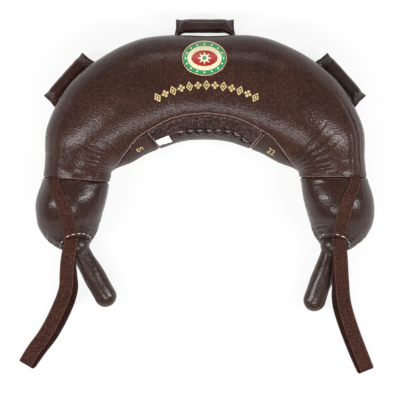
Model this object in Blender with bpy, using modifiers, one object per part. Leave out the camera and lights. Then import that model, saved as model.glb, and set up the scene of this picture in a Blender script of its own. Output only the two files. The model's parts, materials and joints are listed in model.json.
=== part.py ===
"""Bulgarian bag: a stuffed leather crescent with two pouches, two end handles,
two webbing loops and three top handles. Metres, +Z up, lying on its back."""
import math

import bmesh
import bpy
from mathutils import Matrix, Vector

MM = 0.001

# The crescent: its middle line's radius at the sides, and the stuffed tube's size at the top
ARCH_RADIUS = 232.0 * MM
TUBE_WIDTH = 182.0 * MM
TUBE_HEIGHT = 150.0 * MM

# Leather, seams and filling
LEATHER = 2.2 * MM
SEAM_GAP = 0.5 * MM
WOOL_SPACE = 1.8 * MM
POUCH_EASE = 0.8 * MM
WOOL_THICKNESS = 7.0 * MM
SAND_SPACE = 1.1 * MM
LACE_HOLLOW = 4.4 * MM
FILL_SIDES = 12
WRAP_START_SHARE = -5 / FILL_SIDES
WOOL_GAP_ANGLE = math.radians(0.6)
SAND_BLUNTNESS = 6

# End handles: a stuffed leather horn with a ball root that sits in the pouch's neck
HORN_RADIUS = 19.5 * MM
HORN_ROOT_RADIUS = 16.9 * MM
HORN_BALL_RADIUS = 23.5 * MM
HORN_LENGTH = 124.0 * MM
HORN_WALL = 2.0 * MM
HORN_MOUTH_RADIUS = 14.0 * MM
HORN_CORE_SPACE = 0.4 * MM
NECK_SPACE = 1.1 * MM
NECK_RADIUS = HORN_BALL_RADIUS + NECK_SPACE + LEATHER
HORN_DROOP_ANGLE = math.radians(7)
HORN_TAPER_SHARES = (0.35, 0.55)
HORN_SIDES = 12
HORN_LEAN_ANGLES = {"left": math.radians(29.3), "right": math.radians(18.7)}

# Webbing: the run sewn on each pouch and the hand loop that follows it
WEB_WIDTH = 25.0 * MM
WEB_THICKNESS = 1.6 * MM
WEB_SEAT = 0.8 * MM
PLY_SPACE = 0.3 * MM
RUN_SEAT = 0.8 * MM
LOOP_LENGTH = 243.0 * MM
LOOP_FOLD_RADIUS = 5.4 * MM
LOOP_ROOT_SPACE = 2.0 * MM
RUN_END_SPACE = 5.8 * MM

# Top handles: leather wrapped round a short rope, pinched flat at its ends
HANDLE_SPACING = 102.0 * MM
GRIP_RADIUS = 11.3 * MM
GRIP_REACH = 22.0 * MM
GRIP_ROUND_HALF = 30.0 * MM
PINCH_HALF_WIDTH = 17.2 * MM
PINCH_HALF_THICKNESS = 2.6 * MM
GRIP_WALL = 2.0 * MM
GRIP_SLIT = 1.0 * MM
ROPE_SPACE = 0.4 * MM
HANDLE_SEAT = 0.5 * MM
HANDLE_TILT_ANGLE = math.radians(36)

# Lacing: one cord whipped over the slit in the gusset
LACE_RADIUS = 1.3 * MM
LACE_HOLE_RADIUS = 2.0 * MM
LACE_MARGIN = 5.2 * MM
LACE_RISE = 3.6 * MM
SCALLOP = 1.3 * MM
SLIT_WIDTH = 1.2 * MM
STITCHES = 8
POINTS_PER_STITCH = 12
LACE_SQUARENESS = 0.6

# The care label sewn in beside the lacing
LABEL_WIDTH = 25.0 * MM
LABEL_HEIGHT = 17.0 * MM
LABEL_THICKNESS = 0.6 * MM

# One row for each station of the half crescent, from the top to the pouch's neck:
# place across and along as shares of ARCH_RADIUS, half width as a share of TUBE_WIDTH,
# half height and middle height as shares of TUBE_HEIGHT, then turn and lean in degrees
STATION_SHARES = (
    (0.000, 0.875, 0.500, 0.520, 0.473, 0, 0),
    (0.344, 0.852, 0.531, 0.527, 0.480, 22, 0),
    (0.677, 0.679, 0.512, 0.513, 0.470, 45, 0),
    (0.873, 0.462, 0.440, 0.473, 0.433, 63, 0),
    (0.947, 0.300, 0.335, 0.420, 0.393, 80, 0),
    (0.966, 0.206, 0.328, 0.383, 0.385, 90, 0),
    (1.009, 0.038, 0.339, 0.420, 0.387, 90, 0),
    (1.024, -0.085, 0.322, 0.400, 0.370, 92, 0),
    (1.023, -0.174, 0.290, 0.344, 0.340, 95, 6),
    (0.999, -0.256, 0.232, 0.260, 0.318, 101, 16),
)
NECK_SHARES = (0.974, -0.308, 0.307, 107, 25)
POUCH_SEAM_INDEX = 5
NECK_INDEX = len(STATION_SHARES)

# Seam angles round the section, from straight up and towards the inside of the crescent
OUTER_SEAM_ANGLE = -105
FRONT_SEAM_ANGLES = (32, 36, 41, 55, 81, 90)
BACK_SEAM_ANGLES = (104, 104, 102, 99, 93, 90)
SLIT_ANGLES = (57, 56, 74)

# Angles of the sewn webbing's middle, from the pouch's seam to its neck
RUN_ANGLES = (-40, -14, -3, 0, -3, -10)

GUSSET_END_SHARE = 4.25
FLAP_END_SHARE = 1.75
LABEL_PLACE_SHARE = 0.625
SLIT_START_SHARE = -0.93
SLIT_END_SHARE = 1.64
HANDLE_PLACE_SHARES = {"left": -2.17, "centre": 0.0, "right": 2.17}

# Each filling's side of the bag, first and last place, and the step between its rings
FILL_SPAN_SHARES = {"arch": (1, -4.9, 4.9), "left": (-1, 5.12, 7.75), "right": (1, 5.12, 7.75)}
FILL_STEP_SHARES = {"arch": 0.545, "left": 0.33, "right": 0.33}

# The filling makes way for the lace: fully within the first angle, not at all beyond the second
HOLLOW_ANGLES = (30, 45)
HOLLOW_FADE_SHARE = 0.5

# Steps along the crescent between the rows of a mesh, and squares round its panels
PANEL_STEP_SHARE = 0.25
POUCH_STEP_SHARE = 0.5
PANEL_COLUMNS = 11
POUCH_COLUMNS = 9
GUSSET_COLUMNS = 4
RUN_COLUMNS = 4

# Hand loops: across and along as shares of LOOP_LENGTH from the stitches, heights of the
# front and back ply as shares of the stitches' height, and how far the back ply slips inwards
LOOP_ROUTE_SHARES = {
    "left": (
        (0.000, 0.000, 1.013, 0.987, 0.000),
        (0.010, 0.070, 1.020, 0.992, 0.000),
        (0.026, 0.160, 0.985, 0.932, 0.010),
        (0.034, 0.260, 0.872, 0.790, 0.024),
        (0.040, 0.345, 0.670, 0.510, 0.034),
        (0.062, 0.420, 0.440, 0.240, 0.040),
        (0.092, 0.490, 0.290, 0.080, 0.044),
        (0.140, 0.592, 0.205, 0.025, 0.044),
        (0.203, 0.704, 0.180, 0.018, 0.042),
        (0.282, 0.812, 0.175, 0.018, 0.038),
        (0.336, 0.900, 0.175, 0.020, 0.030),
    ),
    "right": (
        (0.000, 0.000, 1.013, 0.987, 0.000),
        (0.008, 0.070, 1.020, 0.992, 0.000),
        (0.015, 0.160, 1.000, 0.947, 0.008),
        (0.021, 0.260, 0.938, 0.855, 0.020),
        (0.028, 0.345, 0.835, 0.745, 0.024),
        (0.037, 0.420, 0.560, 0.360, 0.030),
        (0.054, 0.500, 0.330, 0.110, 0.034),
        (0.084, 0.600, 0.215, 0.028, 0.034),
        (0.124, 0.715, 0.180, 0.018, 0.032),
        (0.168, 0.830, 0.175, 0.018, 0.030),
        (0.212, 0.942, 0.175, 0.020, 0.024),
    ),
}

# How far the first rows of a hand loop are skewed to run along the neck's rim
ROOT_SKEW_SHARES = (1.0, 0.9, 0.8, 0.55, 0.3, 0.1)
LOOP_STEPS = 2

LEATHER_LOOK = ((0.060, 0.034, 0.028), 0.42)
GUSSET_LOOK = ((0.072, 0.042, 0.036), 0.48)
HANDLE_LOOK = ((0.055, 0.026, 0.020), 0.45)
WEB_LOOK = ((0.085, 0.030, 0.022), 0.85)
WOOL_LOOK = ((0.62, 0.57, 0.48), 0.95)
SAND_LOOK = ((0.45, 0.36, 0.24), 0.90)
ROPE_LOOK = ((0.50, 0.42, 0.30), 0.90)
LABEL_LOOK = ((0.88, 0.88, 0.86), 0.80)
LACE_LOOK = ((0.10, 0.055, 0.048), 0.60)


def clear_scene():
    for thing in list(bpy.data.objects):
        bpy.data.objects.remove(thing, do_unlink=True)


def make_material(name, look):
    colour, roughness = look
    material = bpy.data.materials.new(name)
    material.use_nodes = True
    shader = material.node_tree.nodes["Principled BSDF"]
    shader.inputs["Base Color"].default_value = (*colour, 1.0)
    shader.inputs["Roughness"].default_value = roughness
    shader.inputs["Metallic"].default_value = 0.0
    return material


def stations():
    rows = []
    for across, along, width, height, middle, turn, lean in STATION_SHARES:
        rows.append((
            across * ARCH_RADIUS, along * ARCH_RADIUS, width * TUBE_WIDTH,
            height * TUBE_HEIGHT, middle * TUBE_HEIGHT, math.radians(turn), math.radians(lean),
        ))
    across, along, middle, turn, lean = NECK_SHARES
    rows.append((
        across * ARCH_RADIUS, along * ARCH_RADIUS, NECK_RADIUS, NECK_RADIUS,
        middle * TUBE_HEIGHT, math.radians(turn), math.radians(lean),
    ))
    return rows


STATIONS = stations()


def station(index):
    """One station; those before the top mirror the ones after it."""
    if index < 0:
        across, along, width, height, middle, turn, lean = STATIONS[-index]
        return (-across, along, width, height, middle, -turn, lean)
    return STATIONS[min(index, NECK_INDEX)]


def smooth_between(before, first, second, after, share):
    """Catmull-Rom curve through first and second."""
    return 0.5 * (
        2 * first
        + (second - before) * share
        + (2 * before - 5 * first + 4 * second - after) * share ** 2
        + (3 * first - before - 3 * second + after) * share ** 3
    )


def section(place):
    """The tube's section at a place from 0 at the top to NECK_INDEX at the neck."""
    index = min(int(place), NECK_INDEX - 1)
    share = place - index
    rows = [station(index + step) for step in (-1, 0, 1, 2)]
    return [smooth_between(*values, share) for values in zip(*rows)]


def table_angle(table, place):
    """An angle in radians read from a table of degrees at whole stations."""
    place = min(abs(place), len(table) - 1)
    index = min(int(place), len(table) - 2)
    return math.radians(table[index] + (table[index + 1] - table[index]) * (place - index))


def tube_point(place, angle, depth):
    """A point under the leather's face; negative places are the mirrored left half."""
    across, along, width, height, middle, turn, lean = section(abs(place))
    outward = Vector((math.sin(turn), math.cos(turn), 0.0))
    backward = Vector((-math.cos(turn), math.sin(turn), 0.0))
    rise = Vector((0.0, 0.0, math.cos(lean))) + backward * math.sin(lean)
    point = Vector((across, along, middle))
    point -= outward * (width - depth) * math.sin(angle)
    point += rise * (height - depth) * math.cos(angle)
    point.z = max(point.z, depth, 0.0)
    if place < 0:
        point.x = -point.x
    return point


def tube_middle(place):
    across, along, _, _, middle, _, _ = section(abs(place))
    return Vector((-across if place < 0 else across, along, middle))


def place_step(length, place, angle):
    """How far a place moves along the crescent for a given length on the leather."""
    probe = 0.01
    span = tube_point(place + probe, angle, 0.0) - tube_point(place - probe, angle, 0.0)
    return length * 2 * probe / span.length


def angle_step(length, place, angle):
    """How far an angle turns round the section for a given length on the leather."""
    probe = math.radians(1)
    span = tube_point(place, angle + probe, 0.0) - tube_point(place, angle - probe, 0.0)
    return length * 2 * probe / span.length


def even_places(start, end, step):
    count = max(1, round((end - start) / step))
    return [start + (end - start) * index / count for index in range(count + 1)]


def mirrored_places(sign, start, end, step):
    """Places on the left (sign -1) or right half of the crescent, from left to right."""
    return sorted(sign * place for place in even_places(start, end, step))


def finished_mesh(mesh_builder, name):
    """Turns the faces outwards and makes the mesh."""
    bmesh.ops.recalc_face_normals(mesh_builder, faces=mesh_builder.faces)
    if mesh_builder.calc_volume(signed=True) < 0:
        bmesh.ops.reverse_faces(mesh_builder, faces=mesh_builder.faces)
    mesh = bpy.data.meshes.new(name)
    mesh_builder.to_mesh(mesh)
    mesh_builder.free()
    return mesh


def sheet_mesh(name, surface, rows, columns, edges, depths):
    """A sheet with thickness: a slab of squares laid over a surface.

    surface(row, value, depth) gives a point, edges(row) the values at the sheet's two
    sides, and depths(row, value) its outer and inner depth."""
    mesh_builder = bmesh.new()
    bmesh.ops.create_grid(mesh_builder, x_segments=len(rows) - 1, y_segments=columns, size=1.0)
    faces = list(mesh_builder.faces)
    grown = bmesh.ops.extrude_face_region(mesh_builder, geom=faces, use_keep_orig=True)
    inner = [part for part in grown["geom"] if isinstance(part, bmesh.types.BMVert)]
    bmesh.ops.translate(mesh_builder, verts=inner, vec=(0.0, 0.0, -1.0))
    for vertex in mesh_builder.verts:
        row = rows[round((vertex.co.x + 1) / 2 * (len(rows) - 1))]
        low, high = edges(row)
        value = low + (high - low) * (vertex.co.y + 1) / 2
        depth = depths(row, value)[0 if vertex.co.z > -0.5 else 1]
        vertex.co = surface(row, value, depth)
    return finished_mesh(mesh_builder, name)


def bag_mesh(name, start, end, depth, rings, sides):
    """A filled bag with blunt round ends: a sphere drawn out along the tube."""
    mesh_builder = bmesh.new()
    bmesh.ops.create_uvsphere(mesh_builder, u_segments=sides, v_segments=rings, radius=1.0)
    for vertex in mesh_builder.verts:
        share = math.asin(max(-1.0, min(1.0, vertex.co.z))) / math.pi + 0.5
        reach = min(1.0, abs(2 * share - 1))
        fullness = (1 - reach ** SAND_BLUNTNESS) ** (1 / SAND_BLUNTNESS)
        place = start + (end - start) * share
        middle = tube_middle(place)
        skin = tube_point(place, math.atan2(vertex.co.y, vertex.co.x), depth)
        vertex.co = middle + (skin - middle) * fullness
    return finished_mesh(mesh_builder, name)


def turned_mesh(name, profile, sides):
    """A profile of (along, radius) points turned about the local -Y axis."""
    mesh_builder = bmesh.new()
    points = [mesh_builder.verts.new((radius, -along, 0.0)) for along, radius in profile]
    edges = [mesh_builder.edges.new(pair) for pair in zip(points, points[1:])]
    bmesh.ops.spin(
        mesh_builder, geom=points + edges, cent=(0, 0, 0), axis=(0, 1, 0),
        angle=math.tau, steps=sides, use_merge=True,
    )
    bmesh.ops.remove_doubles(mesh_builder, verts=mesh_builder.verts, dist=0.01 * MM)
    return finished_mesh(mesh_builder, name)


def add_piece(name, mesh, look, collection, parent, smooth=True):
    piece = bpy.data.objects.new(name, mesh)
    collection.objects.link(piece)
    piece.parent = parent
    if not mesh.materials:
        mesh.materials.append(None)
    piece.material_slots[0].link = "OBJECT"
    piece.material_slots[0].material = make_material(name, look)
    if smooth:
        mesh.shade_smooth()
        mesh.set_sharp_from_angle(angle=math.radians(50))
    return piece


def add_empty(name, collection, parent, location=(0.0, 0.0, 0.0), turn=0.0):
    empty = bpy.data.objects.new(name, None)
    collection.objects.link(empty)
    empty.parent = parent
    empty.location = location
    empty.rotation_euler = (0.0, 0.0, turn)
    empty.empty_display_size = LOOP_FOLD_RADIUS
    return empty


def leather_depths(_row, _value):
    return 0.0, LEATHER


def front_edge(place):
    return table_angle(FRONT_SEAM_ANGLES, place)


def back_edge(place):
    return table_angle(BACK_SEAM_ANGLES, place)


def slit_angle(place):
    return table_angle(SLIT_ANGLES, max(place, 0.0))


def between_seams(low, high):
    """Both sides of a panel, each half a seam gap short of its seam."""
    def edges(place):
        first, last = low(place), high(place)
        return (
            first + angle_step(SEAM_GAP / 2, place, first),
            last - angle_step(SEAM_GAP / 2, place, last),
        )
    return edges


def outer_seam(_place):
    return math.radians(OUTER_SEAM_ANGLE)


def outer_seam_below(_place):
    return math.radians(OUTER_SEAM_ANGLE + 360)


def add_crescent_panels(collection, root):
    end = POUCH_SEAM_INDEX - place_step(SEAM_GAP / 2, POUCH_SEAM_INDEX, 0.0)
    rows = even_places(-end, end, PANEL_STEP_SHARE)
    front = sheet_mesh("front_panel", tube_point, rows, PANEL_COLUMNS,
                       between_seams(outer_seam, front_edge), leather_depths)
    add_piece("front_panel", front, LEATHER_LOOK, collection, root)
    back = sheet_mesh("back_panel", tube_point, rows, PANEL_COLUMNS,
                      between_seams(back_edge, outer_seam_below), leather_depths)
    add_piece("back_panel", back, LEATHER_LOOK, collection, root)


def add_gussets(collection, root):
    start = FLAP_END_SHARE + place_step(SEAM_GAP / 2, FLAP_END_SHARE, math.pi / 2)
    edges = between_seams(front_edge, back_edge)
    for side, sign in (("left", -1), ("right", 1)):
        rows = mirrored_places(sign, start, GUSSET_END_SHARE, PANEL_STEP_SHARE)
        mesh = sheet_mesh(f"gusset_{side}", tube_point, rows, GUSSET_COLUMNS, edges,
                          leather_depths)
        add_piece(f"gusset_{side}", mesh, GUSSET_LOOK, collection, root)


def stitch_places():
    """Places of the lace holes: equal steps along the slit."""
    step = (SLIT_END_SHARE - SLIT_START_SHARE) / STITCHES
    return [SLIT_START_SHARE + step * index for index in range(STITCHES + 1)]


def slit_half_width(place, holes):
    """Half the slit's opening: it gapes between the stitches and closes past its ends."""
    if place <= holes[0] or place >= holes[-1]:
        return SEAM_GAP / 2
    pitch = (holes[-1] - holes[0]) / STITCHES
    phase = (place - holes[0]) / pitch
    return SLIT_WIDTH / 2 + SCALLOP * (1 - math.cos(math.tau * phase)) / 2


def add_flaps(collection, cutters, root):
    holes = stitch_places()
    end = FLAP_END_SHARE - place_step(SEAM_GAP / 2, FLAP_END_SHARE, math.pi / 2)
    pitch = (holes[-1] - holes[0]) / STITCHES
    rows = even_places(-end, holes[0], pitch)[:-1]
    rows += even_places(holes[0], holes[-1], pitch / 4)
    rows += [end]

    def front_edges(place):
        first = front_edge(place)
        slit = slit_angle(place)
        return (
            first + angle_step(SEAM_GAP / 2, place, first),
            slit - angle_step(slit_half_width(place, holes), place, slit),
        )

    def back_edges(place):
        slit = slit_angle(place)
        last = back_edge(place)
        return (
            slit + angle_step(slit_half_width(place, holes), place, slit),
            last - angle_step(SEAM_GAP / 2, place, last),
        )

    for name, edges, sign in (
        ("lacing_flap_front", front_edges, -1),
        ("lacing_flap_back", back_edges, 1),
    ):
        mesh = sheet_mesh(name, tube_point, rows, 3, edges, leather_depths)
        flap = add_piece(name, mesh, GUSSET_LOOK, collection, root, smooth=False)
        cutter = hole_cutter(f"{name}_holes", holes, sign, cutters, root)
        cut = flap.modifiers.new("lace_holes", "BOOLEAN")
        cut.operation = "DIFFERENCE"
        cut.solver = "EXACT"
        cut.object = cutter
    return holes


def surface_normal(place, angle):
    """Outward normal of the leather at a place and angle."""
    probe = 0.01
    along = tube_point(place + probe, angle, 0.0) - tube_point(place - probe, angle, 0.0)
    round_ = tube_point(place, angle + probe, 0.0) - tube_point(place, angle - probe, 0.0)
    return round_.cross(along).normalized()


def hole_cutter(name, holes, sign, cutters, root):
    """Round pins, one for each lace hole of a flap, square to its leather."""
    mesh_builder = bmesh.new()
    overrun = 2 * LEATHER
    for place in holes:
        angle = slit_angle(place)
        angle += sign * angle_step(LACE_MARGIN, place, angle)
        normal = surface_normal(place, angle)
        centre = tube_point(place, angle, LEATHER / 2)
        turn = normal.to_track_quat("Z", "Y").to_matrix().to_4x4()
        bmesh.ops.create_cone(
            mesh_builder, cap_ends=True, segments=8, radius1=LACE_HOLE_RADIUS,
            radius2=LACE_HOLE_RADIUS, depth=LEATHER + 2 * overrun,
            matrix=Matrix.Translation(centre) @ turn,
        )
    mesh = bpy.data.meshes.new(name)
    mesh_builder.to_mesh(mesh)
    mesh_builder.free()
    cutter = bpy.data.objects.new(name, mesh)
    cutters.objects.link(cutter)
    cutter.parent = root
    cutter.hide_render = True
    cutter.display_type = "WIRE"
    return cutter


def lace_points(holes):
    """The lace's path: down through the front flap, back under the slit, up through the
    rear flap and over the edges, a pitch further on, to the next pair of holes."""
    points = []
    steps = POINTS_PER_STITCH
    for index in range(STITCHES * steps + steps // 2 + 1):
        stitch = index // steps
        turn = math.tau * (index % steps) / steps - math.pi
        start = holes[stitch]
        following = holes[min(stitch + 1, STITCHES)]
        advance = min(1.0, max(0.0, (turn - math.pi / 6) / (math.tau / 3)))
        place = start + (following - start) * advance
        across = math.copysign(abs(math.cos(turn)) ** LACE_SQUARENESS, math.cos(turn))
        rise = math.copysign(abs(math.sin(turn)) ** LACE_SQUARENESS, math.sin(turn))
        angle = slit_angle(place)
        angle += angle_step(LACE_MARGIN * across, place, angle)
        points.append(tube_point(place, angle, LEATHER / 2 - LACE_RISE * rise))
    return points


def least_gap(points, radius, apart):
    """The least gap of a tube to itself, between points more than apart steps from each other."""
    least = math.inf
    for first, start in enumerate(points):
        for second in range(first + apart, len(points)):
            least = min(least, (points[second] - start).length)
    return least - 2 * radius


def add_lace(collection, root, holes):
    points = lace_points(holes)
    curve = bpy.data.curves.new("lace", "CURVE")
    curve.dimensions = "3D"
    spline = curve.splines.new("POLY")
    spline.points.add(len(points) - 1)
    for target, point in zip(spline.points, points):
        target.co = (*point, 1.0)
    curve.bevel_depth = LACE_RADIUS
    curve.bevel_resolution = 1
    curve.use_fill_caps = True
    add_piece("lace", curve, LACE_LOOK, collection, root, smooth=False)
    gap = least_gap(points, LACE_RADIUS, POINTS_PER_STITCH // 3)
    print(f"lace: {STITCHES} stitches, least gap to itself {gap / MM:.2f} mm")


def add_label(collection, root):
    place = -FLAP_END_SHARE + place_step(LABEL_WIDTH * LABEL_PLACE_SHARE, FLAP_END_SHARE, math.pi / 3)
    half = place_step(LABEL_WIDTH / 2, place, math.pi / 3)
    rows = even_places(place - half, place + half, half / 2)

    def edges(row):
        top = slit_angle(row) - angle_step(2 * SEAM_GAP, row, slit_angle(row))
        return top, top + angle_step(LABEL_HEIGHT, row, top)

    def depths(_row, _value):
        return -RUN_SEAT - LABEL_THICKNESS, -RUN_SEAT

    mesh = sheet_mesh("label_tag", tube_point, rows, 4, edges, depths)
    add_piece("label_tag", mesh, LABEL_LOOK, collection, root)


def add_pouches(collection, root):
    start = POUCH_SEAM_INDEX + place_step(SEAM_GAP / 2, POUCH_SEAM_INDEX, 0.0)

    def inner_seam(_place):
        return math.pi / 2

    for side, sign in (("left", -1), ("right", 1)):
        rows = mirrored_places(sign, start, NECK_INDEX, POUCH_STEP_SHARE)
        front = sheet_mesh(f"pouch_front_{side}", tube_point, rows, POUCH_COLUMNS,
                           between_seams(outer_seam, inner_seam), leather_depths)
        add_piece(f"pouch_front_{side}", front, LEATHER_LOOK, collection, root)
        back = sheet_mesh(f"pouch_back_{side}", tube_point, rows, POUCH_COLUMNS,
                          between_seams(inner_seam, outer_seam_below), leather_depths)
        add_piece(f"pouch_back_{side}", back, LEATHER_LOOK, collection, root)


def hollow_near_lace(place, angle):
    """From 0 to 1: how much the filling makes way for the lace."""
    middle = (SLIT_START_SHARE + FLAP_END_SHARE) / 2
    half = (FLAP_END_SHARE - SLIT_START_SHARE) / 2 + HOLLOW_FADE_SHARE
    along = min(1.0, max(0.0, (half - abs(place - middle)) / HOLLOW_FADE_SHARE))
    turn = abs(math.degrees(angle - slit_angle(place)))
    full, none = HOLLOW_ANGLES
    round_ = min(1.0, max(0.0, (none - turn) / (none - full)))
    return along * round_


def add_filling(collection, root):
    wool_outer = LEATHER + WOOL_SPACE
    sand_depth = wool_outer + WOOL_THICKNESS + SAND_SPACE
    wrap_start = math.tau * WRAP_START_SHARE

    def wool_depths(place, angle):
        hollow = hollow_near_lace(place, angle)
        outer = wool_outer + (POUCH_EASE if abs(place) > POUCH_SEAM_INDEX else 0.0)
        return outer + LACE_HOLLOW * hollow, wool_outer + WOOL_THICKNESS

    def wool_edges(_place):
        return wrap_start + WOOL_GAP_ANGLE, wrap_start + math.tau - WOOL_GAP_ANGLE

    for name, (sign, start, end) in FILL_SPAN_SHARES.items():
        rings = round((end - start) / FILL_STEP_SHARES[name])
        rows = mirrored_places(sign, start, end, (end - start) / rings)
        wool = sheet_mesh(f"wool_wadding_{name}", tube_point, rows, FILL_SIDES,
                          wool_edges, wool_depths)
        add_piece(f"wool_wadding_{name}", wool, WOOL_LOOK, collection, root)
        sand = bag_mesh(f"sand_bag_{name}", rows[0], rows[-1], sand_depth, rings,
                        FILL_SIDES)
        add_piece(f"sand_bag_{name}", sand, SAND_LOOK, collection, root)


def arc_points(centre, radius, start, end, count):
    """Points (along, radius) on an arc about a point of the turning axis."""
    points = []
    for index in range(count + 1):
        angle = start + (end - start) * index / count
        points.append((centre - radius * math.cos(angle), radius * math.sin(angle)))
    return points


def horn_profile(inset):
    """The horn from its ball root to its round tip, inset from its leather's face."""
    ball = HORN_BALL_RADIUS - inset
    neck = HORN_ROOT_RADIUS - inset
    body = HORN_RADIUS - inset
    tip_centre = HORN_LENGTH - HORN_RADIUS
    mouth = math.asin((HORN_MOUTH_RADIUS - inset) / ball)
    leave = math.pi - math.asin(neck / ball)
    profile = arc_points(0.0, ball, mouth, leave, 6)
    taper_start, taper_end = HORN_TAPER_SHARES
    profile += [(HORN_LENGTH * taper_start, (neck + body) / 2), (HORN_LENGTH * taper_end, body)]
    profile += arc_points(tip_centre, body, math.pi / 2, math.pi, 5)
    profile[-1] = (HORN_LENGTH - inset, 0.0)
    return profile


def neck_centre(sign):
    centre = tube_middle(NECK_INDEX)
    centre.x *= sign
    return centre


def add_horns(collection, root):
    skin = turned_mesh("horn_leather", horn_profile(0.0), HORN_SIDES)
    core_profile = horn_profile(HORN_WALL + HORN_CORE_SPACE)
    core_profile.insert(0, (core_profile[0][0], 0.0))
    core = turned_mesh("horn_core", core_profile, HORN_SIDES)
    for side, sign in (("left", -1), ("right", 1)):
        pivot = add_empty(f"horn_pivot_{side}", collection, root, neck_centre(sign))
        leather = add_piece(f"horn_leather_{side}", skin, HANDLE_LOOK, collection, pivot)
        stuffing = add_piece(f"horn_core_{side}", core, WOOL_LOOK, collection, pivot)
        for piece in (leather, stuffing):
            piece.rotation_mode = "ZYX"
            piece.rotation_euler = (HORN_DROOP_ANGLE, 0.0, -sign * HORN_LEAN_ANGLES[side])
        wall = leather.modifiers.new("wall", "SOLIDIFY")
        wall.thickness = HORN_WALL
        wall.offset = -1.0
        wall.use_even_offset = True


def run_angle(place):
    """Middle of the sewn webbing on the pouch, on a smooth curve through its table."""
    along = min(abs(place), NECK_INDEX) - POUCH_SEAM_INDEX
    last = len(RUN_ANGLES) - 1
    index = min(int(along), last - 1)
    near = [RUN_ANGLES[max(0, min(last, index + step))] for step in (-1, 0, 1, 2)]
    return math.radians(smooth_between(*near, along - index))


def stitch_point(sign):
    """Where the webbing leaves the neck: between its two plies, on top of the rim."""
    point = tube_point(NECK_INDEX, run_angle(NECK_INDEX), 0.0)
    top = tube_point(NECK_INDEX, 0.0, 0.0)
    height = top.z + WEB_SEAT + WEB_THICKNESS + PLY_SPACE / 2
    return Vector((sign * point.x, top.y, height))


def add_runs(collection, root):
    end = NECK_INDEX - place_step(RUN_END_SPACE, NECK_INDEX - 0.1, 0.0)
    start = POUCH_SEAM_INDEX + place_step(SEAM_GAP / 2, POUCH_SEAM_INDEX, 0.0)

    def edges(place):
        middle = run_angle(place)
        half = angle_step(WEB_WIDTH / 2, place, middle)
        return middle - half, middle + half

    def depths(_row, _value):
        return -RUN_SEAT - WEB_THICKNESS, -RUN_SEAT

    for side, sign in (("left", -1), ("right", 1)):
        rows = mirrored_places(sign, start, end, PANEL_STEP_SHARE)
        mesh = sheet_mesh(f"strap_run_{side}", tube_point, rows, RUN_COLUMNS, edges, depths)
        add_piece(f"strap_run_{side}", mesh, WEB_LOOK, collection, root)


def smooth_rows(rows, steps):
    """Rows of a table with steps between each two, on a smooth curve through them."""
    last = len(rows) - 1
    made = []
    for index in range(last):
        near = [rows[max(0, min(last, index + step))] for step in (-1, 0, 1, 2)]
        for step in range(steps):
            made.append(tuple(smooth_between(*values, step / steps) for values in zip(*near)))
    made.append(rows[last])
    return made


def neck_turn():
    """How far the neck's rim is turned from straight across the bag."""
    return math.radians(NECK_SHARES[3] - 90)


def loop_line(side, sign, height):
    """Middle line of a hand loop from its stitches, round the fold and back beneath,
    relative to the stitches, with the direction across the webbing at each point."""
    front, back, heads = [], [], []
    routes = smooth_rows(LOOP_ROUTE_SHARES[side], LOOP_STEPS)
    for across, along, front_share, back_share, slip in routes:
        spot = Vector((sign * across, -along, 0.0)) * LOOP_LENGTH
        spot.y -= LOOP_ROOT_SPACE
        inward = Vector((-sign * slip * LOOP_LENGTH, 0.0, 0.0))
        front.append(spot + Vector((0.0, 0.0, height * (front_share - 1))))
        back.append(spot + inward + Vector((0.0, 0.0, height * (back_share - 1))))
    for index in range(len(routes)):
        ahead = front[min(index + 1, len(front) - 1)] - front[max(index - 1, 0)]
        ahead.z = 0.0
        heads.append(ahead.normalized())
    top, bottom, head = front[-1], back[-1], heads[-1]
    fold = []
    for step in range(1, 6):
        turn = math.pi * step / 6
        share = (1 - math.cos(turn)) / 2
        reach = head * LOOP_FOLD_RADIUS * math.sin(turn)
        fold.append(top.lerp(bottom, share) + reach)
    across = []
    for index, ahead in enumerate(heads):
        skew = ROOT_SKEW_SHARES[index] if index < len(ROOT_SKEW_SHARES) else 0.0
        across.append(Vector((-ahead.y, ahead.x, 0.0)) + ahead * sign * skew * math.tan(neck_turn()))
    middles = front + fold + back[::-1]
    return middles, across + [across[-1]] * len(fold) + across[::-1]


def add_loops(collection, root):
    half_thickness = WEB_THICKNESS / 2
    for side, sign in (("left", -1), ("right", 1)):
        stitches = stitch_point(sign)
        middles, across = loop_line(side, sign, stitches.z)

        def surface(row, value, depth):
            ahead = middles[min(row + 1, len(middles) - 1)] - middles[max(row - 1, 0)]
            normal = across[row].cross(ahead).normalized()
            return middles[row] + across[row] * value + normal * depth

        def edges(_row):
            return -WEB_WIDTH / 2, WEB_WIDTH / 2

        def depths(_row, _value):
            return -half_thickness, half_thickness

        mesh = sheet_mesh(f"strap_loop_{side}", surface, list(range(len(middles))), 1,
                          edges, depths)
        pivot = add_empty(f"loop_pivot_{side}", collection, root, stitches)
        add_piece(f"strap_loop_{side}", mesh, WEB_LOOK, collection, pivot, smooth=False)


def pinch_share(along):
    """From 0 in the round middle of a top handle to 1 at its flat end."""
    half = HANDLE_SPACING / 2
    share = min(1.0, max(0.0, (abs(along) - GRIP_ROUND_HALF) / (half - GRIP_ROUND_HALF)))
    return share * share * (3 - 2 * share)


def grip_point(along, angle, depth):
    """A point of a top handle in its own frame: X on the hinge, Y away from the bag."""
    share = pinch_share(along)
    half_width = GRIP_RADIUS + (PINCH_HALF_WIDTH - GRIP_RADIUS) * share - depth
    half_thickness = GRIP_RADIUS + (PINCH_HALF_THICKNESS - GRIP_RADIUS) * share - depth
    pinch_reach = PINCH_HALF_WIDTH - PINCH_HALF_THICKNESS
    reach = GRIP_REACH + (pinch_reach - GRIP_REACH) * share
    return Vector((
        along, reach + half_width * math.cos(angle), half_thickness * math.sin(angle),
    ))


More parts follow.
